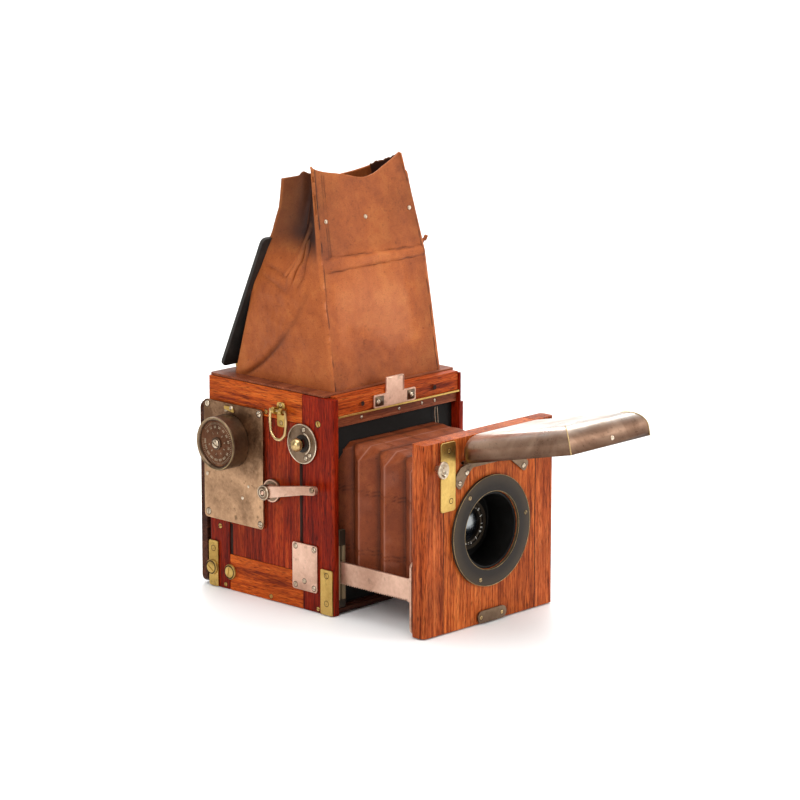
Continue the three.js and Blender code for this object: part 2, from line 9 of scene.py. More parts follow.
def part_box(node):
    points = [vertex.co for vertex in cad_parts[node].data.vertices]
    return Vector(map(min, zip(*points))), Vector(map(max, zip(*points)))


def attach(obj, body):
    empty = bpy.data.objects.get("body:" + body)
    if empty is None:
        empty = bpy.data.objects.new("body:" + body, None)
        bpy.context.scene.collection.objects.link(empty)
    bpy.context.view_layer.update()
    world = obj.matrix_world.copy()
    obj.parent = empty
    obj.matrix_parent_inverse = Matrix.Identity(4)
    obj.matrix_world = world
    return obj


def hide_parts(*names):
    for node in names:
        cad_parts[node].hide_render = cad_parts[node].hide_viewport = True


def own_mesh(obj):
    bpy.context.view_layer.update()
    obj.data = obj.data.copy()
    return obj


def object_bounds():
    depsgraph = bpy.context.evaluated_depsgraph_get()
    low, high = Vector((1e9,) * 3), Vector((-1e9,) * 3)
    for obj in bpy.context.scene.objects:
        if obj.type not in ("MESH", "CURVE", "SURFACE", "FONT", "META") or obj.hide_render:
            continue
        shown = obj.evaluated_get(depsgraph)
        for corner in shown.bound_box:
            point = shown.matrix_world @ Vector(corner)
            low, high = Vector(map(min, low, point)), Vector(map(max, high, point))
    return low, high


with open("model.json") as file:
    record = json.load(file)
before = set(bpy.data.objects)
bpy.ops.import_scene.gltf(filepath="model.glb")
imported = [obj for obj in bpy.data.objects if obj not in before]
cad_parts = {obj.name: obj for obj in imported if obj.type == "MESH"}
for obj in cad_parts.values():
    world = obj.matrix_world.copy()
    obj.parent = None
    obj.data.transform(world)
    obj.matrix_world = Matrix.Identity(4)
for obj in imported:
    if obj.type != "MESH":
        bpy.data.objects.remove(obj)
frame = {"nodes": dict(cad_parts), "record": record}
cad_lo, cad_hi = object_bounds()

RECORD = frame["record"]
SLOT_OF = {s["node"]: s["material_slot"] for s in RECORD["subparts"]}
BODY_OF = {n: b for b, nodes in RECORD["behaviour"]["bodies"].items() for n in nodes}
FRONT_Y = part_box("side_wall_left")[0].y  # front face of the wooden body


def P(x, y, z):
    """A point in millimetres: y runs back from the front face of the body, z up from the ground."""
    return Vector((x / 1000, FRONT_Y + y / 1000, z / 1000))


def span(node):
    """The node's box in millimetres, as (x0, x1, y0, y1, z0, z1)."""
    lo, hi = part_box(node)
    return (lo.x * 1e3, hi.x * 1e3, (lo.y - FRONT_Y) * 1e3, (hi.y - FRONT_Y) * 1e3, lo.z * 1e3, hi.z * 1e3)


# ---------------------------------------------------------------- materials
class Shader:
    """A material being built: node() adds a shader node and links or sets its inputs."""

    def __init__(self, name, metallic=0.0):
        self.mat = bpy.data.materials.new(name)
        self.mat.use_nodes = True
        self.tree = self.mat.node_tree
        self.bsdf = self.tree.nodes["Principled BSDF"]
        self.bsdf.inputs["Metallic"].default_value = metallic
        self.coords = self.node("ShaderNodeTexCoord").outputs["Object"]

    def put(self, socket, value):
        if isinstance(value, bpy.types.NodeSocket):
            self.tree.links.new(value, socket)
        elif isinstance(value, (tuple, list)) and len(value) == 3 and len(socket.default_value) == 4:
            socket.default_value = (*value, 1)
        else:
            socket.default_value = value

    def node(self, kind, inputs=(), **attrs):
        n = self.tree.nodes.new(kind)
        for k, v in attrs.items():
            setattr(n, k, v)
        for k, v in dict(inputs).items():
            self.put(n.inputs[k], v)
        return n

    def mapped(self, scale, shift=0.0):
        return self.node("ShaderNodeMapping", {"Vector": self.coords, "Scale": scale,
                                               "Location": (shift, shift * 0.7, shift * 1.3)}).outputs[0]

    def noise(self, scale, detail=4.0, rough=0.55, vector=None, distortion=0.0):
        return self.node("ShaderNodeTexNoise", {"Vector": vector or self.coords, "Scale": scale, "Detail": detail,
                                                "Roughness": rough, "Distortion": distortion}).outputs["Fac"]

    def ramp(self, fac, stops):
        n = self.node("ShaderNodeValToRGB", {"Fac": fac})
        while len(n.color_ramp.elements) < len(stops):
            n.color_ramp.elements.new(0.5)
        for e, (at, c) in zip(n.color_ramp.elements, stops):
            e.position = at
            e.color = (c, c, c, 1) if isinstance(c, (int, float)) else (*c, 1)
        return n.outputs["Color"]

    def mix(self, fac, a, b, blend="MIX"):
        n = self.node("ShaderNodeMix", data_type="RGBA", blend_type=blend)
        for i, v in ((0, fac), (6, a), (7, b)):
            self.put(n.inputs[i], v)
        return n.outputs[2]

    def math(self, op, a, b=0.0):
        n = self.node("ShaderNodeMath", operation=op)
        self.put(n.inputs[0], a)
        self.put(n.inputs[1], b)
        return n.outputs[0]

    def spread(self, fac, lo, hi):
        return self.node("ShaderNodeMapRange", {"Value": fac, "From Min": 0.3, "From Max": 0.7,
                                                "To Min": lo, "To Max": hi}).outputs[0]

    def bump(self, height, distance, strength=1.0, normal=None):
        inputs = {"Height": height, "Distance": distance, "Strength": strength}
        if normal:
            inputs["Normal"] = normal
        return self.node("ShaderNodeBump", inputs).outputs[0]

    def done(self, **inputs):
        for k, v in inputs.items():
            self.put(self.bsdf.inputs[k.replace("_", " ")], v)
        return self.mat


def wood(name, dark, mid, light, grain="z", seed=0.0, gloss=0.3, pore=0.7):
    """Polished hardwood: fine streaks and short open pores along the grain."""
    s = Shader(name)
    i = "xyz".index(grain)

    def along(stretch, shift):
        return s.mapped(tuple(stretch if k == i else 1.0 for k in range(3)), seed + shift)

    broad = s.noise(55, 4, 0.6, along(0.07, 0), 0.6)
    streak = s.noise(330, 5, 0.65, along(0.035, 3), 0.3)
    fleck = s.noise(900, 4, 0.65, along(0.06, 7))
    tone = s.math("ADD", s.math("MULTIPLY", broad, 0.28),
                  s.math("ADD", s.math("MULTIPLY", streak, 0.36), s.math("MULTIPLY", fleck, 0.36)))
    colour = s.ramp(tone, [(0.4, dark), (0.5, mid), (0.6, light)])
    pores = s.noise(1750, 3, 0.55, along(0.085, 5))
    dashes = s.ramp(pores, [(0.36, 0.08), (0.48, 1.0)])
    colour = s.mix(pore, colour, dashes, "MULTIPLY")
    blotch = s.ramp(s.noise(17, 3, 0.5, s.mapped((1, 1, 1), seed + 9)), [(0.36, 0.7), (0.62, 1.1)])
    colour = s.mix(0.7, colour, blotch, "MULTIPLY")
    normal = s.bump(pores, 0.00008, 0.5)
    normal = s.bump(s.noise(60, 3), 0.0003, 0.25, normal)
    return s.done(Base_Color=colour, Roughness=s.spread(s.noise(40, 4), gloss, gloss + 0.2), Normal=normal,
                  Specular_IOR_Level=0.06, Coat_Weight=0.02, Coat_Roughness=0.08)


def metal(name, bright, tarnish, seed=0.0, rough=(0.22, 0.5), amount=0.5, scale=34.0, spots=0.5, fade=None):
    """Old plated or lacquered metal: soft tarnish, fine speckle and rubbing marks; fade paints it lighter low down and
    darker with height, as painted reflection.
    """
    s = Shader(name, 1.0)
    v = s.mapped((1, 1, 1), seed)
    cloud = s.noise(scale, 5, 0.6, v, 0.5)
    fine = s.noise(scale * 13, 5, 0.65, v)
    blend = s.math("ADD", s.math("MULTIPLY", cloud, 0.74), s.math("MULTIPLY", fine, 0.26))
    # painted reflection: the tarnish deepens with height across the range that fade gives
    if fade:
        height = s.node("ShaderNodeSeparateXYZ", {"Vector": s.coords}).outputs["Z"]
        slope = s.node("ShaderNodeMapRange", {"Value": height, "From Min": fade[0], "From Max": fade[1],
                                              "To Min": 0.10, "To Max": -0.12}).outputs[0]
        blend = s.math("ADD", blend, slope)
    mask = s.ramp(blend, [(0.46 - 0.2 * amount, 1.0), (0.80 - 0.2 * amount, 0.0)])
    colour = s.mix(mask, bright, tarnish)
    dots = s.ramp(s.noise(scale * 6, 3, 0.5, s.mapped((1, 1, 1), seed + 4)), [(0.3, 1 - spots), (0.38, 1.0)])
    colour = s.mix(1.0, colour, dots, "MULTIPLY")
    rubbed = s.noise(1, 3, 0.6, s.mapped((60, 900, 900), seed))
    roughness = s.math("ADD", s.spread(cloud, rough[1], rough[0]), s.math("MULTIPLY", rubbed, 0.1))
    return s.done(Base_Color=colour, Roughness=roughness, Normal=s.bump(fine, 0.00004, 0.4))


def leather(name, dark, mid, light, seed=0.0, grain=900.0, depth=0.00012, streaks=True):
    """Old skiver leather: mottled dye, crackled grain, pale rubbed patches and scratches, with painted shade and
    painted highlights carried by the shade attribute.
    """
    s = Shader(name)
    v = s.mapped((1, 1, 1), seed)
    patch = s.noise(19, 5, 0.6, v, 0.6)
    mottle = s.noise(95, 5, 0.65, v)
    tone = s.math("ADD", s.math("MULTIPLY", patch, 0.55), s.math("MULTIPLY", mottle, 0.45))
    colour = s.ramp(tone, [(0.25, dark), (0.5, mid), (0.72, light)])
    cell = s.node("ShaderNodeTexVoronoi", {"Vector": v, "Scale": grain, "Randomness": 1.0},
                  feature="DISTANCE_TO_EDGE").outputs["Distance"]
    cracks = s.ramp(cell, [(0.02, 0.55), (0.13, 1.0)])
    colour = s.mix(0.55, colour, cracks, "MULTIPLY")
    if streaks:
        scratch = s.ramp(s.noise(1, 5, 0.7, s.mapped((900, 900, 60), seed)), [(0.63, 0.0), (0.72, 1.0)])
        colour = s.mix(s.math("MULTIPLY", scratch, 0.3), colour, light)
    speck = s.ramp(s.noise(420, 3, 0.6, v), [(0.3, 0.5), (0.4, 1.0)])
    colour = s.mix(0.6, colour, speck, "MULTIPLY")
    shade = s.node("ShaderNodeAttribute", attribute_name="shade").outputs["Fac"]
    # below 0 the shade attribute darkens towards a near-black of the dye as painted shade in creases, folds and
    # valleys; above 0 it lightens for rubbed lines and, on the bellows ridges, for painted highlights
    colour = s.mix(s.math("MULTIPLY", shade, -1.0), colour, tuple(0.1 * c for c in dark))
    colour = s.mix(shade, colour, tuple(min(1, c * 1.05 + 0.17) for c in light))
    worn = s.ramp(s.node("ShaderNodeNewGeometry").outputs["Pointiness"], [(0.52, 0.0), (0.62, 1.0)])
    colour = s.mix(s.math("MULTIPLY", worn, 0.2), colour, tuple(min(1, c * 1.4 + 0.02) for c in light))
    normal = s.bump(cell, depth, 0.6)
    normal = s.bump(mottle, 0.0006, 0.35, normal)
    return s.done(Base_Color=colour, Roughness=s.spread(patch, 0.5, 0.68), Normal=normal, Specular_IOR_Level=0.18)


def plain(name, colour, rough, metallic=0.0, worn=None, seed=0.0):
    """Lacquer or cloth: nearly even colour with a little dust, and worn edges where asked."""
    s = Shader(name, metallic)
    dust = s.noise(120, 5, 0.6, s.mapped((1, 1, 1), seed))
    out = s.mix(s.ramp(dust, [(0.5, 0.0), (0.75, 0.35)]), colour, tuple(min(1, c * 1.6 + 0.01) for c in colour))
    if worn:
        edge = s.ramp(s.node("ShaderNodeNewGeometry").outputs["Pointiness"], [(0.53, 0.0), (0.6, 1.0)])
        out = s.mix(edge, out, worn)
    return s.done(Base_Color=out, Roughness=s.spread(dust, rough - 0.06, rough + 0.1),
                  Normal=s.bump(dust, 0.0001, 0.3), Specular_IOR_Level=0.16)


def glass(name, rough, tint=(1, 1, 1)):
    s = Shader(name)
    return s.done(Base_Color=tint, Roughness=rough, Transmission_Weight=1.0, IOR=1.52)


TEAK = wood("teak_vertical", (0.065, 0.005, 0.002), (0.225, 0.017, 0.003), (0.36, 0.046, 0.008), "z", 1.0)
TEAK_STILE = wood("teak_stile", (0.055, 0.004, 0.002), (0.20, 0.010, 0.002), (0.31, 0.028, 0.005), "z", 4.0)
TEAK_RAIL = wood("teak_rail", (0.16, 0.018, 0.003), (0.43, 0.070, 0.007), (0.60, 0.135, 0.018), "y", 2.0)
TEAK_LOW_RAIL = wood("teak_low_rail", (0.16, 0.018, 0.003), (0.43, 0.066, 0.006), (0.60, 0.125, 0.016), "y", 6.0)
TEAK_CROSS = wood("teak_cross", (0.15, 0.016, 0.003), (0.40, 0.060, 0.009), (0.58, 0.125, 0.022), "x", 9.0)
TEAK_BOARD = wood("teak_board", (0.14, 0.019, 0.004), (0.45, 0.088, 0.016), (0.66, 0.175, 0.038), "z", 7.0)
TEAK_BOARD_STILE = wood("teak_board_stile", (0.11, 0.015, 0.004), (0.36, 0.066, 0.014), (0.54, 0.135, 0.034), "z",
                        13.0)
TEAK_DARK = wood("teak_dark", (0.018, 0.006, 0.004), (0.055, 0.017, 0.009), (0.11, 0.036, 0.018), "x", 11.0)
LEDGE = wood("ledge_wood", (0.13, 0.030, 0.014), (0.20, 0.052, 0.022), (0.29, 0.085, 0.037), "x", 21.0, 0.3, 0.45)
BRASS = metal("brass", (0.64, 0.43, 0.13), (0.38, 0.23, 0.06), 1.0, (0.26, 0.42), 0.45, 40.0, 0.3)
BRASS_BRIGHT = metal("brass_rubbed", (0.70, 0.52, 0.26), (0.42, 0.28, 0.12), 5.0, (0.18, 0.34), 0.35, 60.0, 0.2)
BRASS_WORN = metal("brass_worn", (0.42, 0.30, 0.15), (0.12, 0.085, 0.045), 12.0, (0.3, 0.5), 0.6, 90.0, 0.2)
COPPERY = metal("nickel_pink", (0.80, 0.53, 0.40), (0.46, 0.27, 0.19), 2.0, (0.28, 0.46), 0.42, 28.0, 0.25)
NICKEL = metal("nickel", (0.82, 0.70, 0.55), (0.40, 0.30, 0.20), 3.0, (0.2, 0.4), 0.4, 50.0, 0.3)
PATINA = metal("nickel_brown", (0.27, 0.185, 0.12), (0.11, 0.068, 0.042), 6.0, (0.26, 0.46), 0.5, 24.0, 0.35)
# the shutter plate is painted lighter low down and darker towards the top, as painted reflection
SHUTTER = metal("nickel_shutter", (0.56, 0.335, 0.19), (0.13, 0.066, 0.034), 7.0, (0.28, 0.42), 0.5, 30.0, 0.45,
                (0.060, 0.135))
DIAL_FACE = metal("dial_face", (0.22, 0.095, 0.048), (0.075, 0.030, 0.015), 9.0, (0.36, 0.55), 0.5, 60.0, 0.3)


def cover_metal():
    """Brown bronzed sides with fine pitting; the shade attribute paints shade on the lower sides and a highlight band
    in the cove, and turns the flat top to pale nickel, brightened there in part as painted reflection.
    """
    s = Shader("cover_bronze", 1.0)
    cloud = s.noise(26, 5, 0.6, s.mapped((1, 1, 1), 8.0), 0.5)
    pits = s.noise(520, 4, 0.6)
    colour = s.ramp(cloud, [(0.32, (0.14, 0.07, 0.042)), (0.5, (0.26, 0.15, 0.098)), (0.68, (0.42, 0.27, 0.185))])
    colour = s.mix(0.6, colour, s.ramp(pits, [(0.3, 0.35), (0.42, 1.0)]), "MULTIPLY")
    shade = s.node("ShaderNodeAttribute", attribute_name="shade").outputs["Fac"]
    # painted shade: below 0 the shade attribute darkens the lower sides
    colour = s.mix(s.math("MULTIPLY", shade, -1.0), colour, (0.045, 0.022, 0.013))
    nickel = s.ramp(s.noise(45, 5, 0.6, s.mapped((1, 1, 1), 5.0), 0.4),
                    [(0.34, (0.66, 0.55, 0.46)), (0.56, (0.96, 0.92, 0.87))])
    # above 0 the shade attribute mixes in pale nickel: a painted highlight band in the cove, and the flat top, partly
    # painted reflection
    colour = s.mix(shade, colour, nickel)
    rubbed = s.noise(1, 3, 0.6, s.mapped((40, 900, 900), 3.0))
    rough = s.math("ADD", s.spread(cloud, 0.20, 0.30), s.math("MULTIPLY", rubbed, 0.1))
    return s.done(Base_Color=colour, Roughness=rough, Normal=s.bump(pits, 0.00003, 0.35))


BRONZE = cover_metal()
BLACK = plain("black_lacquer", (0.015, 0.010, 0.007), 0.42, 0.0, (0.20, 0.14, 0.08), 1.0)
# a darker black than the lacquer for the inside of the lens cup, as painted shade of the recess
CUP_SHADE_BLACK = plain("cup_black", (0.004, 0.0035, 0.003), 0.55, seed=12.0)
BLACK_MATT = plain("black_matt", (0.009, 0.008, 0.007), 0.7, seed=2.0)
HOOD = leather("hood_leather", (0.23, 0.048, 0.012), (0.405, 0.103, 0.025), (0.54, 0.178, 0.046), 1.0)
BELLOWS = leather("bellows_leather", (0.11, 0.021, 0.006), (0.205, 0.043, 0.012), (0.30, 0.078, 0.023), 4.0,
                  1100.0, 0.00008, False)
LID_BLACK = leather("lid_black", (0.012, 0.011, 0.010), (0.024, 0.021, 0.019), (0.05, 0.042, 0.036), 9.0)
CLOTH = plain("curtain_cloth", (0.012, 0.011, 0.011), 0.85, seed=5.0)
GROUND = glass("ground_glass", 0.55)


def lens_glass():
    """Dark coated glass with a painted pale reflection over one part of it."""
    s = Shader("lens_glass")
    # painted reflection: a pale patch round one point of the glass, fading outwards with a ragged edge
    away = s.node("ShaderNodeVectorMath", {0: s.coords, 1: P(2.5, -68, 71.5)}, operation="DISTANCE").outputs["Value"]
    away = s.math("ADD", away, s.math("MULTIPLY", s.math("SUBTRACT", s.noise(160, 3), 0.5), 0.008))
    painted_reflection = s.node("ShaderNodeMapRange", {"Value": away, "From Min": 0.0035, "From Max": 0.0085, "To Min": 1.0,
                                          "To Max": 0.0}).outputs[0]
    return s.done(Base_Color=s.ramp(painted_reflection, [(0.0, (0.004, 0.005, 0.007)), (0.5, (0.05, 0.055, 0.06)),
                                            (1.0, (0.60, 0.63, 0.64))]), Roughness=0.06, IOR=2.0)


LENS = lens_glass()
MIRROR = plain("mirror_silver", (0.85, 0.87, 0.88), 0.08, 1.0, seed=6.0)
MARKS = plain("engraved_white", (0.92, 0.90, 0.84), 0.5, seed=7.0)
MARKS_OLD = plain("engraved_worn", (0.36, 0.27, 0.18), 0.5, 0.4, seed=8.0)
SHADOW_LINE = plain("joint_shadow", (0.022, 0.007, 0.004), 0.7, seed=9.0)


# ---------------------------------------------------------------- building
ROOT, BOARD = BODY_OF["base_board"], BODY_OF["board_panel"]
LEVER, TENSION, COVER = BODY_OF["mirror_lever"], BODY_OF["speed_dial"], BODY_OF["lens_flap"]
SLOT_FOR = {NICKEL.name: "nickel", COPPERY.name: "nickel", BRASS.name: "brass", BRASS_BRIGHT.name: "brass",
            BRASS_WORN.name: "brass", PATINA.name: "patina", DIAL_FACE.name: "patina", MARKS_OLD.name: "patina",
            BLACK.name: "blacked", MARKS.name: "blacked", SHADOW_LINE.name: "teak_dark", HOOD.name: SLOT_OF["hood"]}


def placed(name, me, mat, node=None, body=None, slot=None, smooth=True):
    """Makes a mesh a piece with a finish, on a body; with node it stands for that CAD node."""
    o = bpy.data.objects.new(name, me)
    bpy.context.collection.objects.link(o)
    me.materials.clear()
    me.materials.append(mat)
    for p in me.polygons:
        p.use_smooth = smooth
    if node:
        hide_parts(node)
    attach(o, body or (BODY_OF[node] if node else ROOT))
    return o


def mesh_of(bm, name):
    me = bpy.data.meshes.new(name)
    bm.to_mesh(me)
    bm.free()
    return me


def made(name, verts, faces, mat, **where):
    """A piece from its points and faces, with the faces turned outwards."""
    me = bpy.data.meshes.new(name)
    me.from_pydata([tuple(v) for v in verts], [], faces)
    bm = bmesh.new()
    bm.from_mesh(me)
    bmesh.ops.recalc_face_normals(bm, faces=bm.faces)
    bm.to_mesh(me)
    bm.free()
    return placed(name, me, mat, **where)


def bevelled(o, width, segments=3, angle=35):
    m = o.modifiers.new("edges", "BEVEL")
    m.width, m.segments, m.limit_method, m.angle_limit = width / 1000, segments, "ANGLE", math.radians(angle)
    m.harden_normals = False
    o.modifiers.new("normals", "WEIGHTED_NORMAL").keep_sharp = True
    return o


def walled(o, thickness):
    """Gives a sheet its thickness, inwards."""
    m = o.modifiers.new("wall", "SOLIDIFY")
    m.thickness, m.offset = thickness / 1000, -1


def dressed(node, mat, bevel=0.0):
    """Shows a CAD node as it is, welded, with rounded edges and a finish."""
    o = frame["nodes"][node]
    o.data.materials.clear()
    o.data.materials.append(mat)
    o.modifiers.new("weld", "WELD").merge_threshold = 0.00001
    if bevel:
        bevelled(o, bevel, 2)


def rounded(pts, steps=6):
    """Corner list of (u, v, radius) as a smooth outline."""
    out = []
    for i, (u, v, r) in enumerate(pts):
        here = Vector((u, v))
        if r <= 0:
            out.append(here)
            continue
        a = (Vector(pts[i - 1][:2]) - here).normalized()
        b = (Vector(pts[(i + 1) % len(pts)][:2]) - here).normalized()
        half = a.angle(b) / 2
        centre = here + (a + b).normalized() * (r / math.sin(half))
        start = here + a * (r / math.tan(half)) - centre
        turn = start.angle_signed(here + b * (r / math.tan(half)) - centre)
        out += [centre + Matrix.Rotation(-turn * k / steps, 2) @ start for k in range(steps + 1)]
    return out


def rect(u0, u1, v0, v1, r=0.0):
    return rounded([(u0, v0, r), (u1, v0, r), (u1, v1, r), (u0, v1, r)])


def polar(r, degrees, u=0.0, v=0.0):
    """The point at a radius and an angle about (u, v)."""
    a = math.radians(degrees)
    return u + r * math.cos(a), v + r * math.sin(a)


def at_axis(axis, u, v, t):
    """Shape coordinates to a point: axis x takes (y, z), axis y (x, z), axis z (x, y)."""
    return P(*{"x": (t, u, v), "y": (u, t, v), "z": (u, v, t)}[axis])


def slab(name, axis, outline, a, b, mat, bevel=0.3, segments=3, **where):
    """A flat plate with that outline from a to b along the axis."""
    n = len(outline)
    verts = [at_axis(axis, p[0], p[1], t) for t in (a, b) for p in outline]
    faces = [list(range(n)), list(range(n, 2 * n))]
    faces += [[i, (i + 1) % n, n + (i + 1) % n, n + i] for i in range(n)]
    o = made(name, verts, faces, mat, **where)
    return bevelled(o, bevel, segments) if bevel else o


def strip(a, b):
    """Faces between two rings of points, either of which may be a single point, without repeated corners."""
    for k in range(max(len(a), len(b))):
        quad = [a[k % len(a)], a[(k + 1) % len(a)], b[(k + 1) % len(b)], b[k % len(b)]]
        quad = [v for i, v in enumerate(quad) if v not in quad[:i]]
        if len(quad) > 2:
            yield quad


def lathe(name, axis, centre, profile, mat, seg=72, **where):
    """Turns (radius, distance along the axis) about the axis through centre, all in millimetres."""
    verts, rows = [], []
    for r, t in profile:
        first = len(verts)
        for k in range(1 if r == 0 else seg):
            c, s = math.cos(2 * math.pi * k / seg) * r, math.sin(2 * math.pi * k / seg) * r
            p = {"x": (t, c, s), "y": (c, t, s), "z": (c, s, t)}[axis]
            verts.append(P(*(q + w for q, w in zip(p, centre))))
        rows.append(range(first, len(verts)))
    faces = [f for a, b in zip(rows, rows[1:]) for f in strip(a, b)]
    return bevelled(made(name, verts, faces, mat, **where), 0.12, 2, 40)


def grid(name, rows, mat, closed=False, **where):
    """A sheet through rows of points; closed joins each row's ends."""
    n = len(rows[0])
    faces = []
    for j in range(len(rows) - 1):
        for i in range(n if closed else n - 1):
            k = (i + 1) % n
            faces.append([j * n + i, j * n + k, (j + 1) * n + k, (j + 1) * n + i])
    return made(name, [p for row in rows for p in row], faces, mat, **where)


HEAD_SIDES, SHADE_RING_SIDES, SLOT_HALF = 28, 32, 0.16  # facets of a screw head and of the ring of painted shade round it; half slot width over radius


def screw_head(r, height, angle):
    """A domed, slotted head of radius r in millimetres, facing up at the origin."""
    part = bmesh.new()
    rows = []
    for q, h in [(0, height), (0.55, height * 0.93), (0.85, height * 0.62), (1.0, height * 0.15), (1.0, -0.3)]:
        turns = [2 * math.pi * k / HEAD_SIDES for k in range(1 if q == 0 else HEAD_SIDES)]
        rows.append([part.verts.new((q * r * math.cos(a), q * r * math.sin(a), h)) for a in turns])
    for a, b in zip(rows, rows[1:]):
        for quad in strip(a, b):
            part.faces.new(quad)
    w = r * SLOT_HALF
    for s in (-1, 1):
        bmesh.ops.bisect_plane(part, geom=part.verts[:] + part.edges[:] + part.faces[:],
                               plane_co=(s * w, 0, 0), plane_no=(1, 0, 0))
    cut = [f for f in part.faces if abs(f.calc_center_median().x) < w * 0.99 and f.calc_center_median().z > 0.05]
    moved = bmesh.ops.extrude_face_region(part, geom=cut)["geom"]
    bmesh.ops.delete(part, geom=cut, context="FACES")
    for x in moved:
        if isinstance(x, bmesh.types.BMVert):
            x.co.z = -0.05
    part.transform(Matrix.Rotation(math.radians(angle), 4, "Z") @ Matrix.Scale(0.001, 4))
    return part


def screws(name, axis, side, items, mat, body=None, height=0.7, slot=None):
    """Slotted screw heads facing along an axis, each ringed with painted shade: items are (u, v, t, radius, slot angle)
    in millimetres.
    """
    slot = slot or SLOT_FOR[mat.name]
    basis = {"x": Matrix(((0, 0, 1), (1, 0, 0), (0, 1, 0))), "y": Matrix(((1, 0, 0), (0, 0, -1), (0, 1, 0)))}[axis]
    if (side if axis != "y" else -side) < 0:
        basis = basis @ Matrix(((-1, 0, 0), (0, 1, 0), (0, 0, -1)))
    bm = bmesh.new()
    verts, faces = [], []
    for u, v, t, r, angle in items:
        part = screw_head(r, height, angle)
        part.transform(Matrix.Translation(at_axis(axis, u, v, t)) @ basis.to_4x4())
        me = mesh_of(part, "head")
        bm.from_mesh(me)
        bpy.data.meshes.remove(me)
        n = len(verts)
        # a flat dark ring of painted shade round each head
        for k in (0.97, 1.2):
            verts += [at_axis(axis, *polar(r * k, 360 * i / SHADE_RING_SIDES, u, v), t + side * 0.06)
                      for i in range(SHADE_RING_SIDES)]
        faces += list(strip(range(n, n + SHADE_RING_SIDES), range(n + SHADE_RING_SIDES, n + 2 * SHADE_RING_SIDES)))
    bevelled(placed(name, mesh_of(bm, name), mat, body=body, slot=slot), 0.05, 1, 50)
    made(name + "_painted_shade_rings", verts, faces, SHADOW_LINE, body=body, slot=slot)


def converted(kind, fill):
    """A mesh made from a curve or text that fill() sets up."""
    cu = bpy.data.curves.new("outline", kind)
    fill(cu)
    tmp = bpy.data.objects.new("outline", cu)
    bpy.context.collection.objects.link(tmp)
    me = bpy.data.meshes.new_from_object(tmp.evaluated_get(bpy.context.evaluated_depsgraph_get()))
    bpy.data.objects.remove(tmp)
    return me


def wire(name, points, r, mat, cyclic=False, smooth=False, **where):
    """A round wire through points, or with smooth a curve that they steer."""
    def fill(cu):
        cu.dimensions, cu.bevel_depth, cu.bevel_resolution, cu.use_fill_caps = "3D", r / 1000, 6, True
        cu.resolution_u = 8
        sp = cu.splines.new("NURBS" if smooth else "POLY")
        sp.points.add(len(points) - 1)
        for q, p in zip(sp.points, points):
            q.co = (*p, 1)
        if smooth:
            sp.order_u, sp.use_endpoint_u = 4, True
        sp.use_cyclic_u = cyclic

    return placed(name, converted("CURVE", fill), mat, **where)


def figures(name, items, mat, **where):
    """Raised or inlaid figures: items are (text, height in mm, matrix that puts the XY plane in place)."""
    bm = bmesh.new()
    for text, size, place in items:
        def fill(cu):
            cu.body, cu.size, cu.align_x, cu.align_y = text, size / 1000, "CENTER", "CENTER"
            cu.resolution_u, cu.extrude, cu.offset = 2, 0.00005, 0.00004

        me = converted("FONT", fill)
        me.transform(place)
        bm.from_mesh(me)
        bpy.data.meshes.remove(me)
    return placed(name, mesh_of(bm, name), mat, smooth=False, **where)


# ---------------------------------------------------------------- wooden body
BODY_HALF, BODY_REAR, BODY_TOP = 71.0, 133.0, 164.0
WALL, GROOVE_DEPTH = 5.5, 0.2  # thickness of a side wall, and how far its panel lies below the frame
STILE_BACK, HEAD_Z, HEAD_STEP = 32.4, 141.2, 2.6  # front stile, and its stepped head on the right


def wall(side, tag):
    """One side wall, framed up: two stiles, two rails and a plain panel between them."""
    out, inner = side * BODY_HALF, side * (BODY_HALF - WALL)

    def board(name, y0, y1, z0, z1, mat, r_front=0.0, r_rear=0.0, face=out, node=None):
        """A board of the wall, with the rounding of its two outer upright edges."""
        corners = [(inner, y0, 0), (face, y0, r_front), (face, y1, r_rear), (inner, y1, 0)]
        outline = rounded(corners if side > 0 else corners[::-1])
        slab(f"{tag}_{name}", "z", outline, z0, z1, mat, 0.45, node=node, body=ROOT, slot="teak")

    board("front_stile", 0, STILE_BACK, 0, HEAD_Z if side > 0 else BODY_TOP, TEAK_STILE, 2.2,
          node=f"side_wall_{tag}")
    if side > 0:
        board("front_head", 0, STILE_BACK, HEAD_Z, BODY_TOP, TEAK_STILE, 2.2, face=out - HEAD_STEP)
    board("top_rail", 32.5, BODY_REAR, 141.4, BODY_TOP, TEAK_RAIL, 0, 2.2)
    board("bottom_rail", 32.5, 110.8, 0, 27.8, TEAK_LOW_RAIL)
    board("rear_stile", 111.2, BODY_REAR, 0, HEAD_Z, TEAK_STILE, 0, 2.2)
    board("panel", 34.3, 109.2, 28.1, 141.1, TEAK, face=out - side * GROOVE_DEPTH)
    core = [(1.5, 1.5), (131.5, 1.5), (131.5, 162.5), (33, 162.5), (33, 140.9), (1.5, 140.9)]
    a, b = sorted((out - side * 0.9, inner + side * 0.9))
    slab(f"{tag}_joints", "x", [Vector(c) for c in core], a, b, SHADOW_LINE, 0)


wall(-1, "left")
wall(1, "right")
for tag, edges in (("front", (33.0, 35.3, 51.5, 113.0)), ("rear", (107.4, 109.2, 28.2, 52.0))):
    slab(f"left_groove_{tag}", "x", rect(*edges), -70.83, -70.3, SHADOW_LINE, 0)

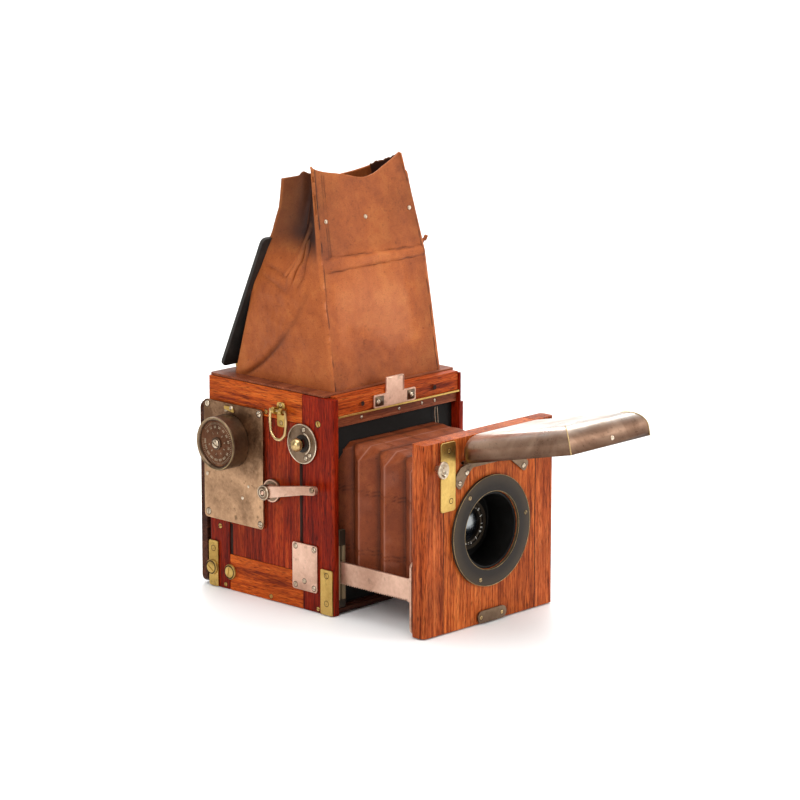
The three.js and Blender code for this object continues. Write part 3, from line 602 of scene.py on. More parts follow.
BOTH = ("left", "right")
for mat, nodes in (
        (TEAK_DARK, {"base_board": 0.3, "plate_back": 0.5, "plate_holder": 0.5}),
        (TEAK_CROSS, {"back_panel": 0.3, "top_front_rail": 0.4, "roller_top": 0.2, "roller_bottom": 0.2}),
        (LEDGE, {"front_lip": 0.25, "hood_ledge": 0.5}),
        (BLACK_MATT, {"screen_frame": 0.3, "front_mask": 0.2, "mirror_frame": 0.2}),
        (BRASS, {"tripod_bush": 0.2, "turntable_ring": 0.15, "winding_key": 0.25, "lid_hinge": 0, "latch_strip": 0.3,
                 "pinion_shaft": 0.1, "focus_knob": 0.2}),
        (BRASS, {f"strap_{end}_{tag}": 0.3 for end in ("front", "rear") for tag in BOTH}),
        (BRASS, {f"lug_{tag}": 0.25 for tag in BOTH}),
        (BLACK, {"draw_slide": 0.2, "iris": 0, "iris_ring": 0.1}),
        (COPPERY, {"rack_cover": 0.35, "mirror_lever": 0.5}),
        (PATINA, {"release_escutcheon": 0.2, "lower_catch": 0.3}),
        (TEAK_BOARD_STILE, {f"board_stile_{tag}": 0.4 for tag in BOTH}),
        (TEAK_BOARD, {"board_panel": 0.4}), (LID_BLACK, {"lid": 0.6}), (SHUTTER, {"shutter_plate": 0.3}),
        (GROUND, {"ground_glass": 0}), (CLOTH, {"curtain": 0}), (MIRROR, {"mirror_glass": 0}),
        (LENS, {"front_glass": 0})):
    for node, bevel in nodes.items():
        dressed(node, mat, bevel)


# ---------------------------------------------------------------- viewing hood
def lerp(a, b, t):
    return a + (b - a) * t


def smooth(e0, e1, x):
    t = min(1, max(0, (x - e0) / (e1 - e0)))
    return t * t * (3 - 2 * t)


def table(rows, z):
    """Values between the rows of a table of (z, values...)."""
    if z <= rows[0][0]:
        return rows[0][1:]
    for lo, hi in zip(rows, rows[1:]):
        if z <= hi[0]:
            t = (z - lo[0]) / (hi[0] - lo[0])
            return tuple(lerp(a, b, t) for a, b in zip(lo[1:], hi[1:]))
    return rows[-1][1:]


HOOD_BASE, HOOD_TOP = 160.0, 330.0
#          height, front y, rear y, half width at the front, half width at the rear
HOOD_SHAPE = [(160, 14, 116, 57, 57), (168, 14.4, 115.0, 57, 57), (197, 18.9, 107.6, 56.6, 56.3),
              (217, 22, 102.0, 56.2, 56), (238, 25.2, 97.6, 55.5, 54.8), (243, 26, 95.6, 55.4, 54.2),
              (249, 26.9, 91.4, 55.2, 53.6), (256.5, 28, 88.6, 55, 53), (263, 29.5, 86.4, 54.4, 52.6),
              (279, 33, 80.9, 52.8, 51.2), (304, 38.5, 75.8, 50.4, 49.2), (330, 44, 74.2, 48, 48)]
#             height, how far the gusset's middle stands out (+) or folds in (-), how sharp its fold is
GUSSET_SHAPE = [(160, 0, 0), (175, 1.0, 0), (205, 4.2, 0.1), (232, 3.6, 0.2), (246, 1.5, 0.45), (256, -2.5, 0.8),
                (266, -7, 1), (284, -13.5, 1), (330, -19, 1)]


def wrinkle(p, scale, seed):
    return noise.fractal(Vector((p[0] * scale + seed, p[1] * scale, p[2] * scale)), 1.0, 2.0, 4)


def crease(d, width):
    """1 on a crease line and 0 away from it, for a distance d."""
    return math.exp(-(d / width) ** 2)


def hood_front(u, z):
    """A point on the front panel and its shade: u runs -1 to 1 from left to right."""
    front, _, half, _ = table(HOOD_SHAPE, z)[:4]
    x = u * half
    y = front
    shade = 0.0
    top = smooth(262, 330, z)
    sag = (1 - u * u) * 12.5 * smooth(268, 330, z) + 1.6 * math.sin(u * 5.2 + 0.6) * top
    curl = smooth(0.72, 1.0, u) * smooth(306, 330, z)
    y -= 0.6 * (1 - u * u) * smooth(170, 230, z)
    y += 2.2 * curl
    left = smooth(-0.8, -1.0, u)
    band_hi = 262.5 - 2.6 * (u + 1) / 2
    band_lo = 252.5 + 1.2 * (u + 1) / 2
    band = smooth(band_lo - 0.6, band_lo + 0.6, z) * (1 - smooth(band_hi - 0.6, band_hi + 0.6, z))
    y -= 1.0 * band * (1 - left)
    # painted shade: the two crease lines of the band are darkened
    for at, depth in ((band_hi, 1.0), (band_lo, 0.7)):
        c = crease(z - at - 0.25 * math.sin(u * 23), 0.7) * (1 - left)
        y += depth * c
        shade -= 0.75 * c * (0.55 + 0.45 * math.sin(u * 9 + at))
    # painted shade along two upright creases above the band
    if z > band_hi:
        for at, depth in ((-half + 8.6, 0.35), (-half + 10.8, 0.35)):
            c = crease(x - at, 0.5)
            y += depth * c
            shade -= 0.5 * c * smooth(-0.5, 0.1, wrinkle((x, 0, z), 0.08, 50.0))
    p = Vector((x, y, z - sag))
    y_noise = 0.9 * wrinkle(p, 0.03, 3.1) + 0.22 * wrinkle(p, 0.12, 8.0)
    p.y += y_noise * smooth(162, 180, z)
    edge = 1 - abs(u)
    worn = crease(edge * half - 0.6, 0.5) * smooth(-0.1, 0.35, wrinkle(p, 0.12, 12.0) + (0.12 if z < 250 else -0.3))
    shade += 0.42 * worn - 0.7 * crease(edge * half - 1.9, 0.5) * smooth(-0.2, 0.2, wrinkle(p, 0.07, 17.0))
    shade += 0.10 * (1 - u * u) * smooth(180, 205, z) * (1 - smooth(225, 250, z)) - 0.10 * smooth(0.7, 1.0, abs(u))
    stain = wrinkle(p, 0.018, 40.0)
    shade += -0.2 * max(0, -stain) + 0.05 * stain
    shade -= 0.25 * smooth(196, 166, z) * (0.6 + 0.8 * abs(wrinkle(p, 0.04, 21.0)))
    shade -= 0.22 * smooth(258, 268, z)
    return p, shade


def gusset_pull(u, z):
    """Folds pinched into a gusset: outward offset and painted shade in the folds, u from front to rear."""
    d = 0.0
    shade = 0.0
    # one long soft crease from the lower rear corner up to the front edge
    rise = (z - 164) / 82
    line = 0.93 - 1.15 * rise + 0.36 * rise * rise
    c = crease(u - line, 0.035)
    fade = smooth(163, 172, z) * (1 - smooth(228, 250, z))
    sharp = 1 - 0.7 * smooth(184, 214, z)
    d += (-1.5 * c + 1.5 * crease(u - line - 0.07, 0.06)) * fade * sharp
    # painted shade along the crease
    shade -= 0.55 * c * fade * sharp
    # pinches where the gusset turns inwards
    for at, lean, width, depth, z0, z1 in ((0.40, 0.0034, 0.020, 2.6, 236, 285), (0.50, 0.0058, 0.017, 1.9, 240, 268),
                                           (0.30, 0.0016, 0.030, 1.4, 232, 300)):
        line = at - lean * (z - 250) + 0.012 * math.sin(z * 0.3 + at * 20)
        c = crease(u - line, width)
        fade = smooth(z0, z0 + 16, z) * (1 - smooth(z1 - 18, z1, z))
        d += (-depth * c + 1.1 * depth * crease(u - line - 2.3 * width, width * 1.3)) * fade
        # painted shade in each pinch
        shade -= 0.34 * c * fade
    # short lines running back from the pinches
    for z_at, slope, depth in ((247, 16, 1.1), (238, 22, 0.8)):
        c = crease(z - (z_at + slope * (u - 0.62)), 1.6) * smooth(0.45, 0.6, u) * (1 - smooth(0.85, 1.0, u))
        d -= depth * c
        # painted shade along each short line
        shade -= 0.2 * c
    return d, shade


def hood_gusset(side, u, z):
    """A point on a side gusset and its shade: u runs 0 to 1 from front to rear."""
    front, rear, half_f, half_r = table(HOOD_SHAPE, z)
    out, sharp = table(GUSSET_SHAPE, z)
    x = lerp(half_f, half_r, u)
    bulge = 1 - (2 * u - 1) ** 2
    fold = 1 - abs(2 * u - 1)
    x += out * lerp(bulge, fold, sharp)
    pull, shade = gusset_pull(u, z)
    x += pull
    y = lerp(front, rear, u)
    rim = smooth(268, 330, z)
    drop = lerp(0, 12.0, u) * rim + 2.5 * fold * rim
    if side < 0:
        drop -= 2.6 * crease(u - 0.66, 0.05) * rim
        x += 1.6 * crease(u - 0.66, 0.07) * rim
    else:
        drop += 1.8 * wrinkle((0, y, 0), 0.35, 31.0) * smooth(322, 330, z)
    p = Vector((side * x, y, z - drop))
    p.x += side * (1.3 * wrinkle(p, 0.035, 5.0 + side) + 0.3 * wrinkle(p, 0.13, 9.0)) * smooth(162, 180, z) * bulge
    shade += crease((1 - u) * (rear - front), 0.8) * 0.15 + crease(u * (rear - front), 0.7) * 0.25
    # painted shade: the upper gusset darkens where it folds inwards, most towards its front edge
    shade -= (0.60 + 0.36 * smooth(0.95, 0.35, u)) * smooth(252, 280, z) * smooth(0.0, 0.08, u)
    shade -= 0.1
    stain = wrinkle(p, 0.022, 60.0)
    shade += 0.06 * stain
    return p, shade


def hood_rear(u, z):
    _, rear, _, half = table(HOOD_SHAPE, z)
    sag = 12.0 * smooth(268, 330, z) + (1 - u * u) * 4 * smooth(280, 330, z)
    p = Vector((u * half, rear, z - sag))
    p.y += (0.9 * wrinkle(p, 0.03, 33.0) + 0.25 * wrinkle(p, 0.12, 18.0)) * smooth(162, 180, z) * (1 - u ** 4)
    # painted shade in the crease across the rear panel
    c = crease(z - 256, 0.9)
    p.y -= 0.8 * c
    return p, -0.5 * c - 0.1


def hood_ring(z, n_front=120, n_side=70, n_rear=60):
    """One closed row of the hood at a height, as points and shades."""
    row = [hood_front(-1 + 2 * i / n_front, z) for i in range(n_front)]
    row += [hood_gusset(1, i / n_side, z) for i in range(n_side)]
    row += [hood_rear(1 - 2 * i / n_rear, z) for i in range(n_rear)]
    row += [hood_gusset(-1, 1 - i / n_side, z) for i in range(n_side)]
    return row


def shaded(o, values):
    """Stores how much darker (below 0) or lighter (above 0) than its dye each point is, painted shade and painted
    highlights included.
    """
    o.data.attributes.new("shade", "FLOAT", "POINT").data.foreach_set("value", values)


def folds_with_lid(o):
    """Gives a piece of the hood a mesh of its own."""
    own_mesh(o)


hood_rings = [hood_ring(lerp(HOOD_BASE, HOOD_TOP, j / 170)) for j in range(171)]
hood = grid("viewing_hood", [[P(*p) for p, _ in r] for r in hood_rings], HOOD, closed=True, node="hood")
shaded(hood, [s for r in hood_rings for _, s in r])
walled(hood, 1.2)
folds_with_lid(hood)

for k, (u, z) in enumerate([(-0.83, 290.5), (-0.03, 292.7), (0.87, 289.7)]):
    p, _ = hood_front(u, z)
    stud = [(0, -2.6), (0.9, -2.5), (1.6, -2.0), (1.8, -1.2), (1.8, 0.1), (0, 0.2)]
    folds_with_lid(lathe(f"hood_stud_{k}", "y", tuple(p), stud, NICKEL, 24, slot="brass"))


# a torn scrap of the upper flap curling off its right edge
SCRAP_ROWS, SCRAP_POINTS = 13, 9
scrap_at, _ = hood_front(1.0, 262.0)
scrap_rows = []
for j in range(SCRAP_ROWS):
    t = j / (SCRAP_ROWS - 1)
    width = 2.6 * (1 - 0.55 * t) + 0.7 * math.sin(t * 17)
    spine = scrap_at + Vector((8.6 * t - 1.0, 1.5 * math.sin(2.6 * t), 1.2 + 3.4 * t * t - 1.2 * math.sin(3.1 * t)))
    scrap_rows.append([])
    for v in [2 * i / (SCRAP_POINTS - 1) - 1 for i in range(SCRAP_POINTS)]:
        frayed = width * v + 0.4 * wrinkle((j, 4 * v, 0), 0.4, 3)
        scrap_rows[-1].append(P(*(spine + Vector((-0.5 * v, 0.7 * v * v + 0.6 * t * v, frayed)))))
scrap = grid("hood_torn_scrap", scrap_rows, HOOD)
walled(scrap, 1.0)
shaded(scrap, [-0.1 if i % SCRAP_POINTS in (0, SCRAP_POINTS - 1) else -0.35 for i in range(SCRAP_ROWS * SCRAP_POINTS)])
folds_with_lid(scrap)


# ---------------------------------------------------------------- bellows
BELLOWS_FRONT = span("bellows")[2]
BELLOWS_REAR = span("bellows")[3] - 1.7  # clear of the raised mirror's front edge
PLEAT = (BELLOWS_REAR - BELLOWS_FRONT) / 3.5
BELLOWS_Z, FOCUS_TRAVEL = 75.0, 74.0


def octagon(half, high, cut_x, cut_z):
    """Corner points of one bellows ring, in X and Z."""
    return [(-half + cut_x, -high), (half - cut_x, -high), (half, cut_z - high), (half, high - cut_z),
            (half - cut_x, high), (-half + cut_x, high), (-half, high - cut_z), (-half, cut_z - high)]


def bellows_ring(s, y, rise):
    """Row of points and shades; s is 0 in a valley and 1 on a ridge: the shades are painted shade in valleys and
    creases and a painted highlight on ridges.
    """
    inside = smooth(-8, 0, y)  # squarer and taller inside the body, where the mirror swings
    low = octagon(47.5, lerp(50.6, 52.3, inside), 1.2, 1.2)
    high = octagon(56.9, lerp(52.4, 52.5, inside), lerp(13.5, 10.5, inside), lerp(9.5, 7.5, inside))
    corners = [Vector((lerp(a[0], b[0], s), lerp(a[1], b[1], s))) for a, b in zip(low, high)]
    row = []
    for k in range(8):
        a, b = corners[k], corners[(k + 1) % 8]
        long_side = k % 2 == 0
        out = Vector(((b - a).y, -(b - a).x)).normalized()
        n = 72 if long_side else 6
        for i in range(n):
            t = i / n
            q = a.lerp(b, t)
            shade = 0.0
            p = Vector((q.x, y, q.y + BELLOWS_Z))
            puff = 0.5 * math.sin(math.pi * s) if long_side else 0.0
            if long_side:
                along = q.y + BELLOWS_Z if k in (2, 6) else q.x + 60
                marks = (94, 49) if k in (2, 6) else (30, 60, 90)
                # painted shade along each double crease line
                for m in marks:
                    for half_gap in (-1.35, 1.35):
                        c = crease(along - m - half_gap - 0.4 * math.sin(y * 0.7), 0.42)
                        puff -= 0.35 * c
                        shade -= 0.6 * c * (0.5 + 0.5 * smooth(0.05, 0.3, s) * smooth(1.0, 0.8, s) + 0.2 * rise)
            puff += 0.45 * wrinkle(p, 0.045, 70) * math.sin(math.pi * min(1, max(0, s))) + 0.12 * wrinkle(p, 0.2, 75)
            puff = lerp(puff, max(0.0, puff), inside)
            p.x += out.x * puff
            p.z += out.y * puff
            # painted highlight on the ridge and painted shade in the valley
            shade += 0.1 * wrinkle(p, 0.05, 77) + 0.3 * crease(1 - s, 0.05) - 0.6 * crease(s, 0.16)
            row.append((p, shade))
    return row


bellows_rings = []
for half in range(7):
    for i in range(12 if half < 6 else 13):
        t = i / 12
        s = t if half % 2 == 0 else 1 - t
        bellows_rings.append(bellows_ring(s, BELLOWS_FRONT + (half + t) * PLEAT / 2, half % 2))
bellows = grid("focusing_bellows", [[P(*p) for p, _ in r] for r in bellows_rings], BELLOWS, closed=True,
               node="bellows")
shaded(bellows, [s for r in bellows_rings for _, s in r])
walled(bellows, 0.9)
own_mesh(bellows)


# ---------------------------------------------------------------- fittings on the left side
SIDE = -BODY_HALF
PLATE_X = span("shutter_plate")[0]
screws("shutter_plate_screws", "x", -1, [(131.6, 142.6, PLATE_X, 2.3, 35), (75.8, 142.6, PLATE_X, 2.3, 120),
                                         (75.0, 57.7, PLATE_X, 2.3, 80), (131.2, 58.6, PLATE_X, 2.3, 10)], NICKEL)
for k, (y, z, r, h) in enumerate([(94, 75, 1.3, 0.5), (87.5, 85, 1.1, 0.4), (105, 142.8, 1.9, 1.4),
                                  (110.6, 140.2, 1.6, 1.2), (132, 88, 1.5, 1.0)]):
    lathe(f"shutter_rivet_{k}", "x", (PLATE_X, y, z),
          [(0, -h), (r * 0.6, -h * 0.92), (r, -h * 0.4), (r, 0.2), (0, 0.2)], NICKEL, 24)

# tension dial: a drum with a rim, an engraved face and a central screw
DIAL_X, inner, y0, y1, z0, z1 = span("speed_dial")
DIAL = (DIAL_X, (y0 + y1) / 2, (z0 + z1) / 2)
drum = [(0, 3.4), (17.6, 3.4), (17.9, 1.8), (18.4, 0.6), (19.1, 0.1), (19.8, 0.1), (20.3, 0.7), (20.5, 1.6),
        (20.5, inner - DIAL_X), (0, inner - DIAL_X)]
lathe("dial_drum", "x", DIAL, drum, PATINA, 128, node="speed_dial")
lathe("dial_rim", "x", DIAL, [(19.3, 0.15), (19.45, -0.1), (19.85, -0.05), (20.1, 0.35), (19.3, 0.5)], BRASS_WORN, 128,
      body=TENSION, slot="nickel")
lathe("dial_face", "x", DIAL, [(0, 2.2), (17.7, 2.2), (17.7, 3.2), (0, 3.2)], DIAL_FACE, 96, body=TENSION)
lathe("dial_boss", "x", DIAL, [(0, 0.6), (4.2, 0.6), (4.7, 1.0), (4.8, 2.4), (0, 2.4)], PATINA, 48, body=TENSION)
screws("dial_screw", "x", -1, [(DIAL[1], DIAL[2], DIAL_X + 0.6, 3.5, 60)], NICKEL, TENSION, 1.3)


def on_dial(angle, r):
    """Places a flat figure on the dial's face, upright along its radius."""
    place = Matrix.Translation(P(DIAL_X + 2.12, *polar(r, angle, *DIAL[1:])))
    face = Matrix(((0, 0, -1), (-1, 0, 0), (0, 1, 0))).to_4x4()
    return place @ face @ Matrix.Rotation(math.pi / 2 - math.radians(angle), 4, "Z")


speeds = (10, 15, 20, 30, 40, 50, 60, 75, 90, 100, 120, 150, 180, 200, 250, 300)
dial_marks = [(str(n), 2.5, on_dial(38 + k * 21.5, 12.6)) for k, n in enumerate(speeds)]
dial_marks += [(str(n), 2.2, on_dial(24 + n * 36, 8.2)) for n in range(1, 10)]
dial_marks += [("|", 1.7, on_dial(38 + k * 5.375, 15.6)) for k in range(62)]
figures("dial_figures", dial_marks, MARKS_OLD, body=TENSION)
slab("dial_index", "x", rounded([(101.5, 139.3, 0.8), (112.5, 141.2, 1.2), (112.5, 144.2, 1.2), (103.5, 143.6, 0.8)]),
     PLATE_X - 0.9, PLATE_X, BRASS)

# mirror lever: a round base, a boss with turned rings and a pin
LEVER_X = span("mirror_lever")[0]
lever_boss = [(0, -0.8), (1.6, -0.8), (1.9, -0.2), (2.6, -0.1), (3.0, -0.7), (3.8, -0.9), (4.4, -0.5), (5.3, 0.0),
              (5.8, 0.8), (5.8, 4.0), (0, 4.0)]
for name, centre, profile, mat, seg in (
        ("base", (SIDE, 63, 86), [(0, -2.9), (6.4, -2.9), (8.4, -2.6), (8.9, -2.0), (8.9, -0.2), (0, -0.2)], PATINA, 64),
        ("boss", (LEVER_X, 63, 86), lever_boss, PATINA, 64),
        ("cap", (LEVER_X, 63, 86), [(0, -1.3), (1.0, -1.2), (1.7, -0.8), (1.8, 0), (0, 0)], COPPERY, 48),
        ("pin", (LEVER_X + 1.4, 12.6, 96.2), [(0, -1.6), (1.2, -1.5), (2.1, -0.9), (2.3, 0.2), (0, 0.4)], PATINA, 32)):
    lathe("lever_" + name, "x", centre, profile, mat, seg, body=LEVER, slot="nickel")
for r, t in ((3.0, -0.75), (5.2, -0.1)):
    lathe(f"lever_ring_{r:.0f}", "x", (LEVER_X, 63, 86), [(r - 0.5, t + 0.1), (r, t - 0.25), (r + 0.5, t + 0.15),
                                                         (r, t + 0.6), (r - 0.5, t + 0.1)], NICKEL, 64, body=LEVER)

# release: a round escutcheon with a bright rim and a curved slot, and its ball-shaped knob
ESCUTCHEON_X = span("release_escutcheon")[0]
KNOB_AXIS, ESCUTCHEON_AXIS = (30.5, 127.3), (31, 127)
lathe("escutcheon_rim", "x", (ESCUTCHEON_X, *ESCUTCHEON_AXIS),
      [(14.1, 0.25), (14.4, -0.35), (15.0, -0.25), (15.2, 0.5), (14.6, 0.9)], NICKEL, 96)
screws("escutcheon_screws", "x", -1, [(*polar(11.2, a, *ESCUTCHEON_AXIS), ESCUTCHEON_X, 1.7, a)
                                      for a in (100, 222, 248, 348)], NICKEL)
wire("escutcheon_slot", [P(ESCUTCHEON_X - 0.15, *polar(8.2, 180 - a, *KNOB_AXIS)) for a in range(-62, 80, 8)], 0.55,
     NICKEL, smooth=True)
tip = span("release_button")[0]
KNOB_END = SIDE - 2.8  # the stem stops short of the wall by a little more than its travel
knob = [(0, 0), (1.6, 0.25), (3.2, 1.0), (4.5, 2.3), (5.1, 4.0), (4.9, 5.6), (4.0, 6.4), (2.4, 6.8),
        (2.4, KNOB_END - tip), (0, KNOB_END - tip)]
lathe("release_knob", "x", (tip, *KNOB_AXIS), knob, BRASS_BRIGHT, 64, node="release_button")
lathe("release_collar", "x", (ESCUTCHEON_X, *KNOB_AXIS),
      [(3.5, -0.9), (6.0, -0.9), (6.6, -0.5), (6.8, 0.2), (3.5, 0.2)], BLACK, 64)

# rack cover, corner straps and screws let into the wood
screws("rack_cover_screws", "x", -1, [(y, z, span("rack_cover")[0], r, angle) for y, z, r, angle in (
    (19.2, 48, 1.9, 60), (38.6, 48, 1.9, 15), (38.6, 18.4, 1.9, 130), (19.2, 18.4, 1.9, 75), (29.3, 22.4, 1.8, 40))],
    NICKEL)
for side, tag in ((-1, "left"), (1, "right")):
    outer = 0 if side < 0 else 1
    strap, wood = span(f"strap_front_{tag}")[outer], side * BODY_HALF
    for name, face, items, mat, height in (
            ("strap_screws", strap, [(6.3, 30.6, 2.0, 20), (6.3, 9.2, 2.0, 75), (127.6, 30.0, 2.0, 100)], BRASS, 0.35),
            ("wood_screws", wood, [(15.8, 144, 2.4, 25), (70.4, 145, 1.7, 60), (121.3, 48.2, 1.9, 110),
                                   (66.5, 3.1, 1.6, 30), (16.6, 2.9, 1.6, 80), (116, 3.1, 1.6, 10)], BRASS, 0.25),
            ("lug_screws", side * 72.7, [(53.2, 152.6, 1.5, 45), (52.6, 139.6, 1.5, 15)], BRASS_BRIGHT, 0.5)):
        screws(f"{name}_{tag}", "x", side, [(y, z, face, r, angle) for y, z, r, angle in items], mat, height=height)
    for k, (y, z, at) in enumerate(((129.0, 14.9, span(f"strap_rear_{tag}")[outer]), (110.4, 14.0, wood))):
        profile = [(0, 1.7), (4.9, 1.7), (5.7, 1.3), (6.0, 0.6), (6.1, 0), (0, 0)]
        lathe(f"strap_boss_{tag}_{k}", "x", (at, y, z), [(r, side * t) for r, t in profile], BRASS, 48)
        screws(f"strap_boss_slot_{tag}_{k}", "x", side, [(y, z, at + side * 1.7, 4.4, 55 - 70 * k)], BRASS, height=0.55)


def curve_through(points, steps=8):
    """Points along a smooth curve that passes through the given ones."""
    pts = [points[0]] + list(points) + [points[-1]]
    out = []
    for a, b, c, d in zip(pts, pts[1:], pts[2:], pts[3:]):
        for t in [i / steps for i in range(steps)]:
            out.append(0.5 * (2 * b + (c - a) * t + (2 * a - 5 * b + 4 * c - d) * t * t
                              + (3 * b - a - 3 * c + d) * t ** 3))
    return out + [points[-1]]


loop = [(45.3, 149), (44.6, 143), (45.6, 133), (49.4, 128.2), (53, 127.3), (56.6, 128.2), (60.2, 133), (61.2, 143),
        (60.5, 149)]
for x, tag in ((-75.6, "left"), (75.6, "right")):
    ring = "strap_ring_" + tag
    wire(ring, curve_through([P(x, y, z) for y, z in loop]), 1.15, BRASS_BRIGHT, node="d_ring_" + tag, body=ring,
         slot="brass")
    wire(f"strap_ring_pin_{tag}", [P(x, 44.4, 149), P(x, 61.4, 149)], 1.15, BRASS_BRIGHT, body=ring)

# ---------------------------------------------------------------- front of the body
slab("front_brass_line", "y", rect(-65, 65, 149.7, 151.0), -0.35, 0.6, BRASS, 0.15)
# flush dark discs of painted shade where the top rail has two holes
for k, x in enumerate((-39.7, 38.2)):
    lathe(f"rail_hole_shade_{k}", "y", (x, 0, 157), [(0, -0.04), (1.5, -0.04), (1.7, -0.1), (1.9, 0.2), (0, 0.2)],
          SHADOW_LINE, 24)
LIP_Y, CATCH_Y = span("front_lip")[2], span("catch_plate")[2]
screws("front_lip_screws", "y", -1, [(x, 146.2, LIP_Y, 1.2, 40 + x) for x in (-38, 2, 27, 41)], NICKEL, height=0.4)
slab("catch_plate_cut", "y", rounded([(-28, 151, 1.6), (17, 151, 1.6), (17, 161, 1.6), (4.3, 161, 0.6), (4.3, 173, 1.6),
                                      (-15, 173, 1.6), (-15, 161, 0.6), (-28, 161, 1.6)]),
     CATCH_Y, CATCH_Y + 1.4, COPPERY, node="catch_plate")
wire("catch_rim", [P(x, CATCH_Y - 0.05, z) for x, z in ((-14.2, 160.5), (-14.2, 172.1), (3.5, 172.1), (3.5, 160.5))],
     0.5, COPPERY)
for name, a, b in (("catch_stain", -26.8, -17.5), ("catch_stain_right", 7.5, 15.8)):
    slab(name, "y", rect(a, b, 152.2, 159.8, 1), CATCH_Y - 0.03, CATCH_Y + 0.2, PATINA, 0, slot="nickel")
screws("catch_screws", "y", -1, [(-23.4, 155.6, CATCH_Y, 1.9, 30), (12.4, 155.8, CATCH_Y, 1.9, 110)], NICKEL,
       height=0.6)

# slotted guides that the racks run through
RACK_X = 63.0
for side, tag in ((-1, "left"), (1, "right")):
    x0, x1, y0, y1, z0, z1 = span(f"rack_guide_{tag}")
    slab(f"guide_{tag}_head", "y", rect(x0, x1, 53, z1, 0.6), y0, y1, BLACK, 0.2, node=f"rack_guide_{tag}")
    slab(f"guide_{tag}_foot", "y", rect(x0, x1, z0, 12, 0.6), y0, y1, BLACK, 0.2)
    for k, (a, b) in enumerate(((x0, side * RACK_X - 1.5), (side * RACK_X + 1.5, x1))):
        slab(f"guide_{tag}_bar_{k}", "y", rect(a, b, 11.9, 53.1), y0 + 0.1, y1, BLACK, 0.1)

# loose ends hanging in the right of the opening
for k, dx in enumerate((0.0, 2.6)):
    wire(f"shutter_wire_{k}", curve_through([P(44 + dx, 5.6, 140), P(44.3 + dx * 1.2, 5.9, 133), P(45.1 + dx, 5.5, 126),
                                             P(44.6 + dx * 1.4, 5.8, 120.5)]), 0.3, NICKEL)

# ---------------------------------------------------------------- lens board
FRONT = span("board_panel")[2]
x0, x1, FLANGE_Y, y1, z0, z1 = span("lens_flange")
AXIS = ((x0 + x1) / 2, (z0 + z1) / 2)
OUTER = (x1 - x0) / 2
rim = FLANGE_Y - y1  # the front of the ring, measured from its back
lathe("lens_ring", "y", (AXIS[0], y1, AXIS[1]),
      [(29.3, 0), (29.3, rim + 0.5), (29.8, rim), (OUTER - 0.9, rim), (OUTER - 0.2, rim + 0.5),
       (OUTER, rim + 1.1), (OUTER, 0), (29.3, 0)], BLACK, 160, node="lens_flange")
screws("lens_ring_screws", "y", -1, [(*polar(37.5, a, *AXIS), FLANGE_Y, 1.7, a + 30) for a in (10.5, 130.5, 250.5)],
       BRASS_WORN, BOARD, 0.3, "blacked")
lathe("lens_cup_turned", "y", (AXIS[0], 0, AXIS[1]),
      [(27, -90.9), (27.6, -91.1), (28.7, -90.9), (28.7, -62.5), (19, -62.5), (19, -64.5), (26.4, -64.5), (27, -65.2),
       (27, -90.9)], CUP_SHADE_BLACK, 128, node="lens_cup")
lathe("lens_barrel_turned", "y", (AXIS[0], 0, AXIS[1]),
      [(13.4, -69.2), (13.9, -69.5), (15.0, -69.4), (15.3, -68.9), (15.3, -65.7), (18.6, -65.7), (18.6, -44),
       (13.4, -44), (13.4, -48), (12, -48), (12, -64), (13.0, -66.4), (13.4, -69.2)], BLACK, 128, node="lens_barrel")


def on_lens(angle):
    """Places a figure on the lens's front ring, its foot towards the axis; the angle runs from the top."""
    x, z = polar(14.5, 90 - angle, *AXIS)
    upright = Matrix(((1, 0, 0), (0, 0, -1), (0, 1, 0))).to_4x4()
    return Matrix.Translation(P(x, -69.62, z)) @ upright @ Matrix.Rotation(-math.radians(angle), 4, "Z")


figures("lens_marks", [(c, 3.0, on_lens(12 * k)) for k, c in enumerate("1:4.5 | 150 | 1:4.5 | 150 | 1:")], MARKS,
        body=BOARD)
for r, name in ((29.45, "inner"), (41.6, "outer")):
    worn = [polar(r, a, *AXIS) for a in range(0, 360, 5)]
    wire(f"lens_ring_worn_{name}", [P(x, FLANGE_Y + 0.22, z) for x, z in worn], 0.22, BRASS_WORN, cyclic=True,
         body=BOARD)
for x, tag in ((-50, "left"), (50, "right")):
    slab(f"board_joint_{tag}", "y", rect(x - 0.32, x + 0.32, 0.8, 144.0), FRONT - 0.03, FRONT + 1.0, SHADOW_LINE, 0,
         body=BOARD)

# latch strip, and the plate that the lens cover hinges on
STRIP_Y, CATCH_LOW_Y, HINGE_Y = span("latch_strip")[2], span("lower_catch")[2], FRONT - 1.7
HINGE = (-93.6, 126)  # y and z of the cover's hinge line
screws("latch_strip_screws", "y", -1, [(-45.5, 137, STRIP_Y, 1.6, 100), (-43.3, 99.5, STRIP_Y, 1.8, 60)], BRASS, BOARD,
       0.3)
slab("hinge_leaf", "y", rounded([(-26, 124.4, 1), (-32.5, 122.6, 4), (-38.4, 117.0, 4), (-38.2, 109.4, 2.5),
                                 (-34.2, 105.9, 2.2), (-30.6, 108.6, 2), (-27.4, 114.2, 4), (-20.5, 120.4, 3),
                                 (19.5, 120.4, 2), (36.6, 107.5, 2.2), (41.5, 114.6, 3), (26, 124.4, 1)]),
     HINGE_Y, FRONT - 0.3, PATINA, node="hinge_plate")
wire("hinge_knuckle", [P(-26, *HINGE), P(26, *HINGE)], 1.5, PATINA, body=BOARD)
slab("hinge_web", "y", rect(-26, 26, 123.4, 126.2, 0.5), HINGE[0], HINGE_Y + 0.4, PATINA, 0.2, body=BOARD)
screws("hinge_plate_screws", "y", -1, [(-26.6, 117.6, HINGE_Y, 1.9, 30), (-34.3, 110.9, HINGE_Y, 1.9, 75),
                                       (35.2, 112.4, HINGE_Y, 1.9, 20)], NICKEL, BOARD, 0.6)
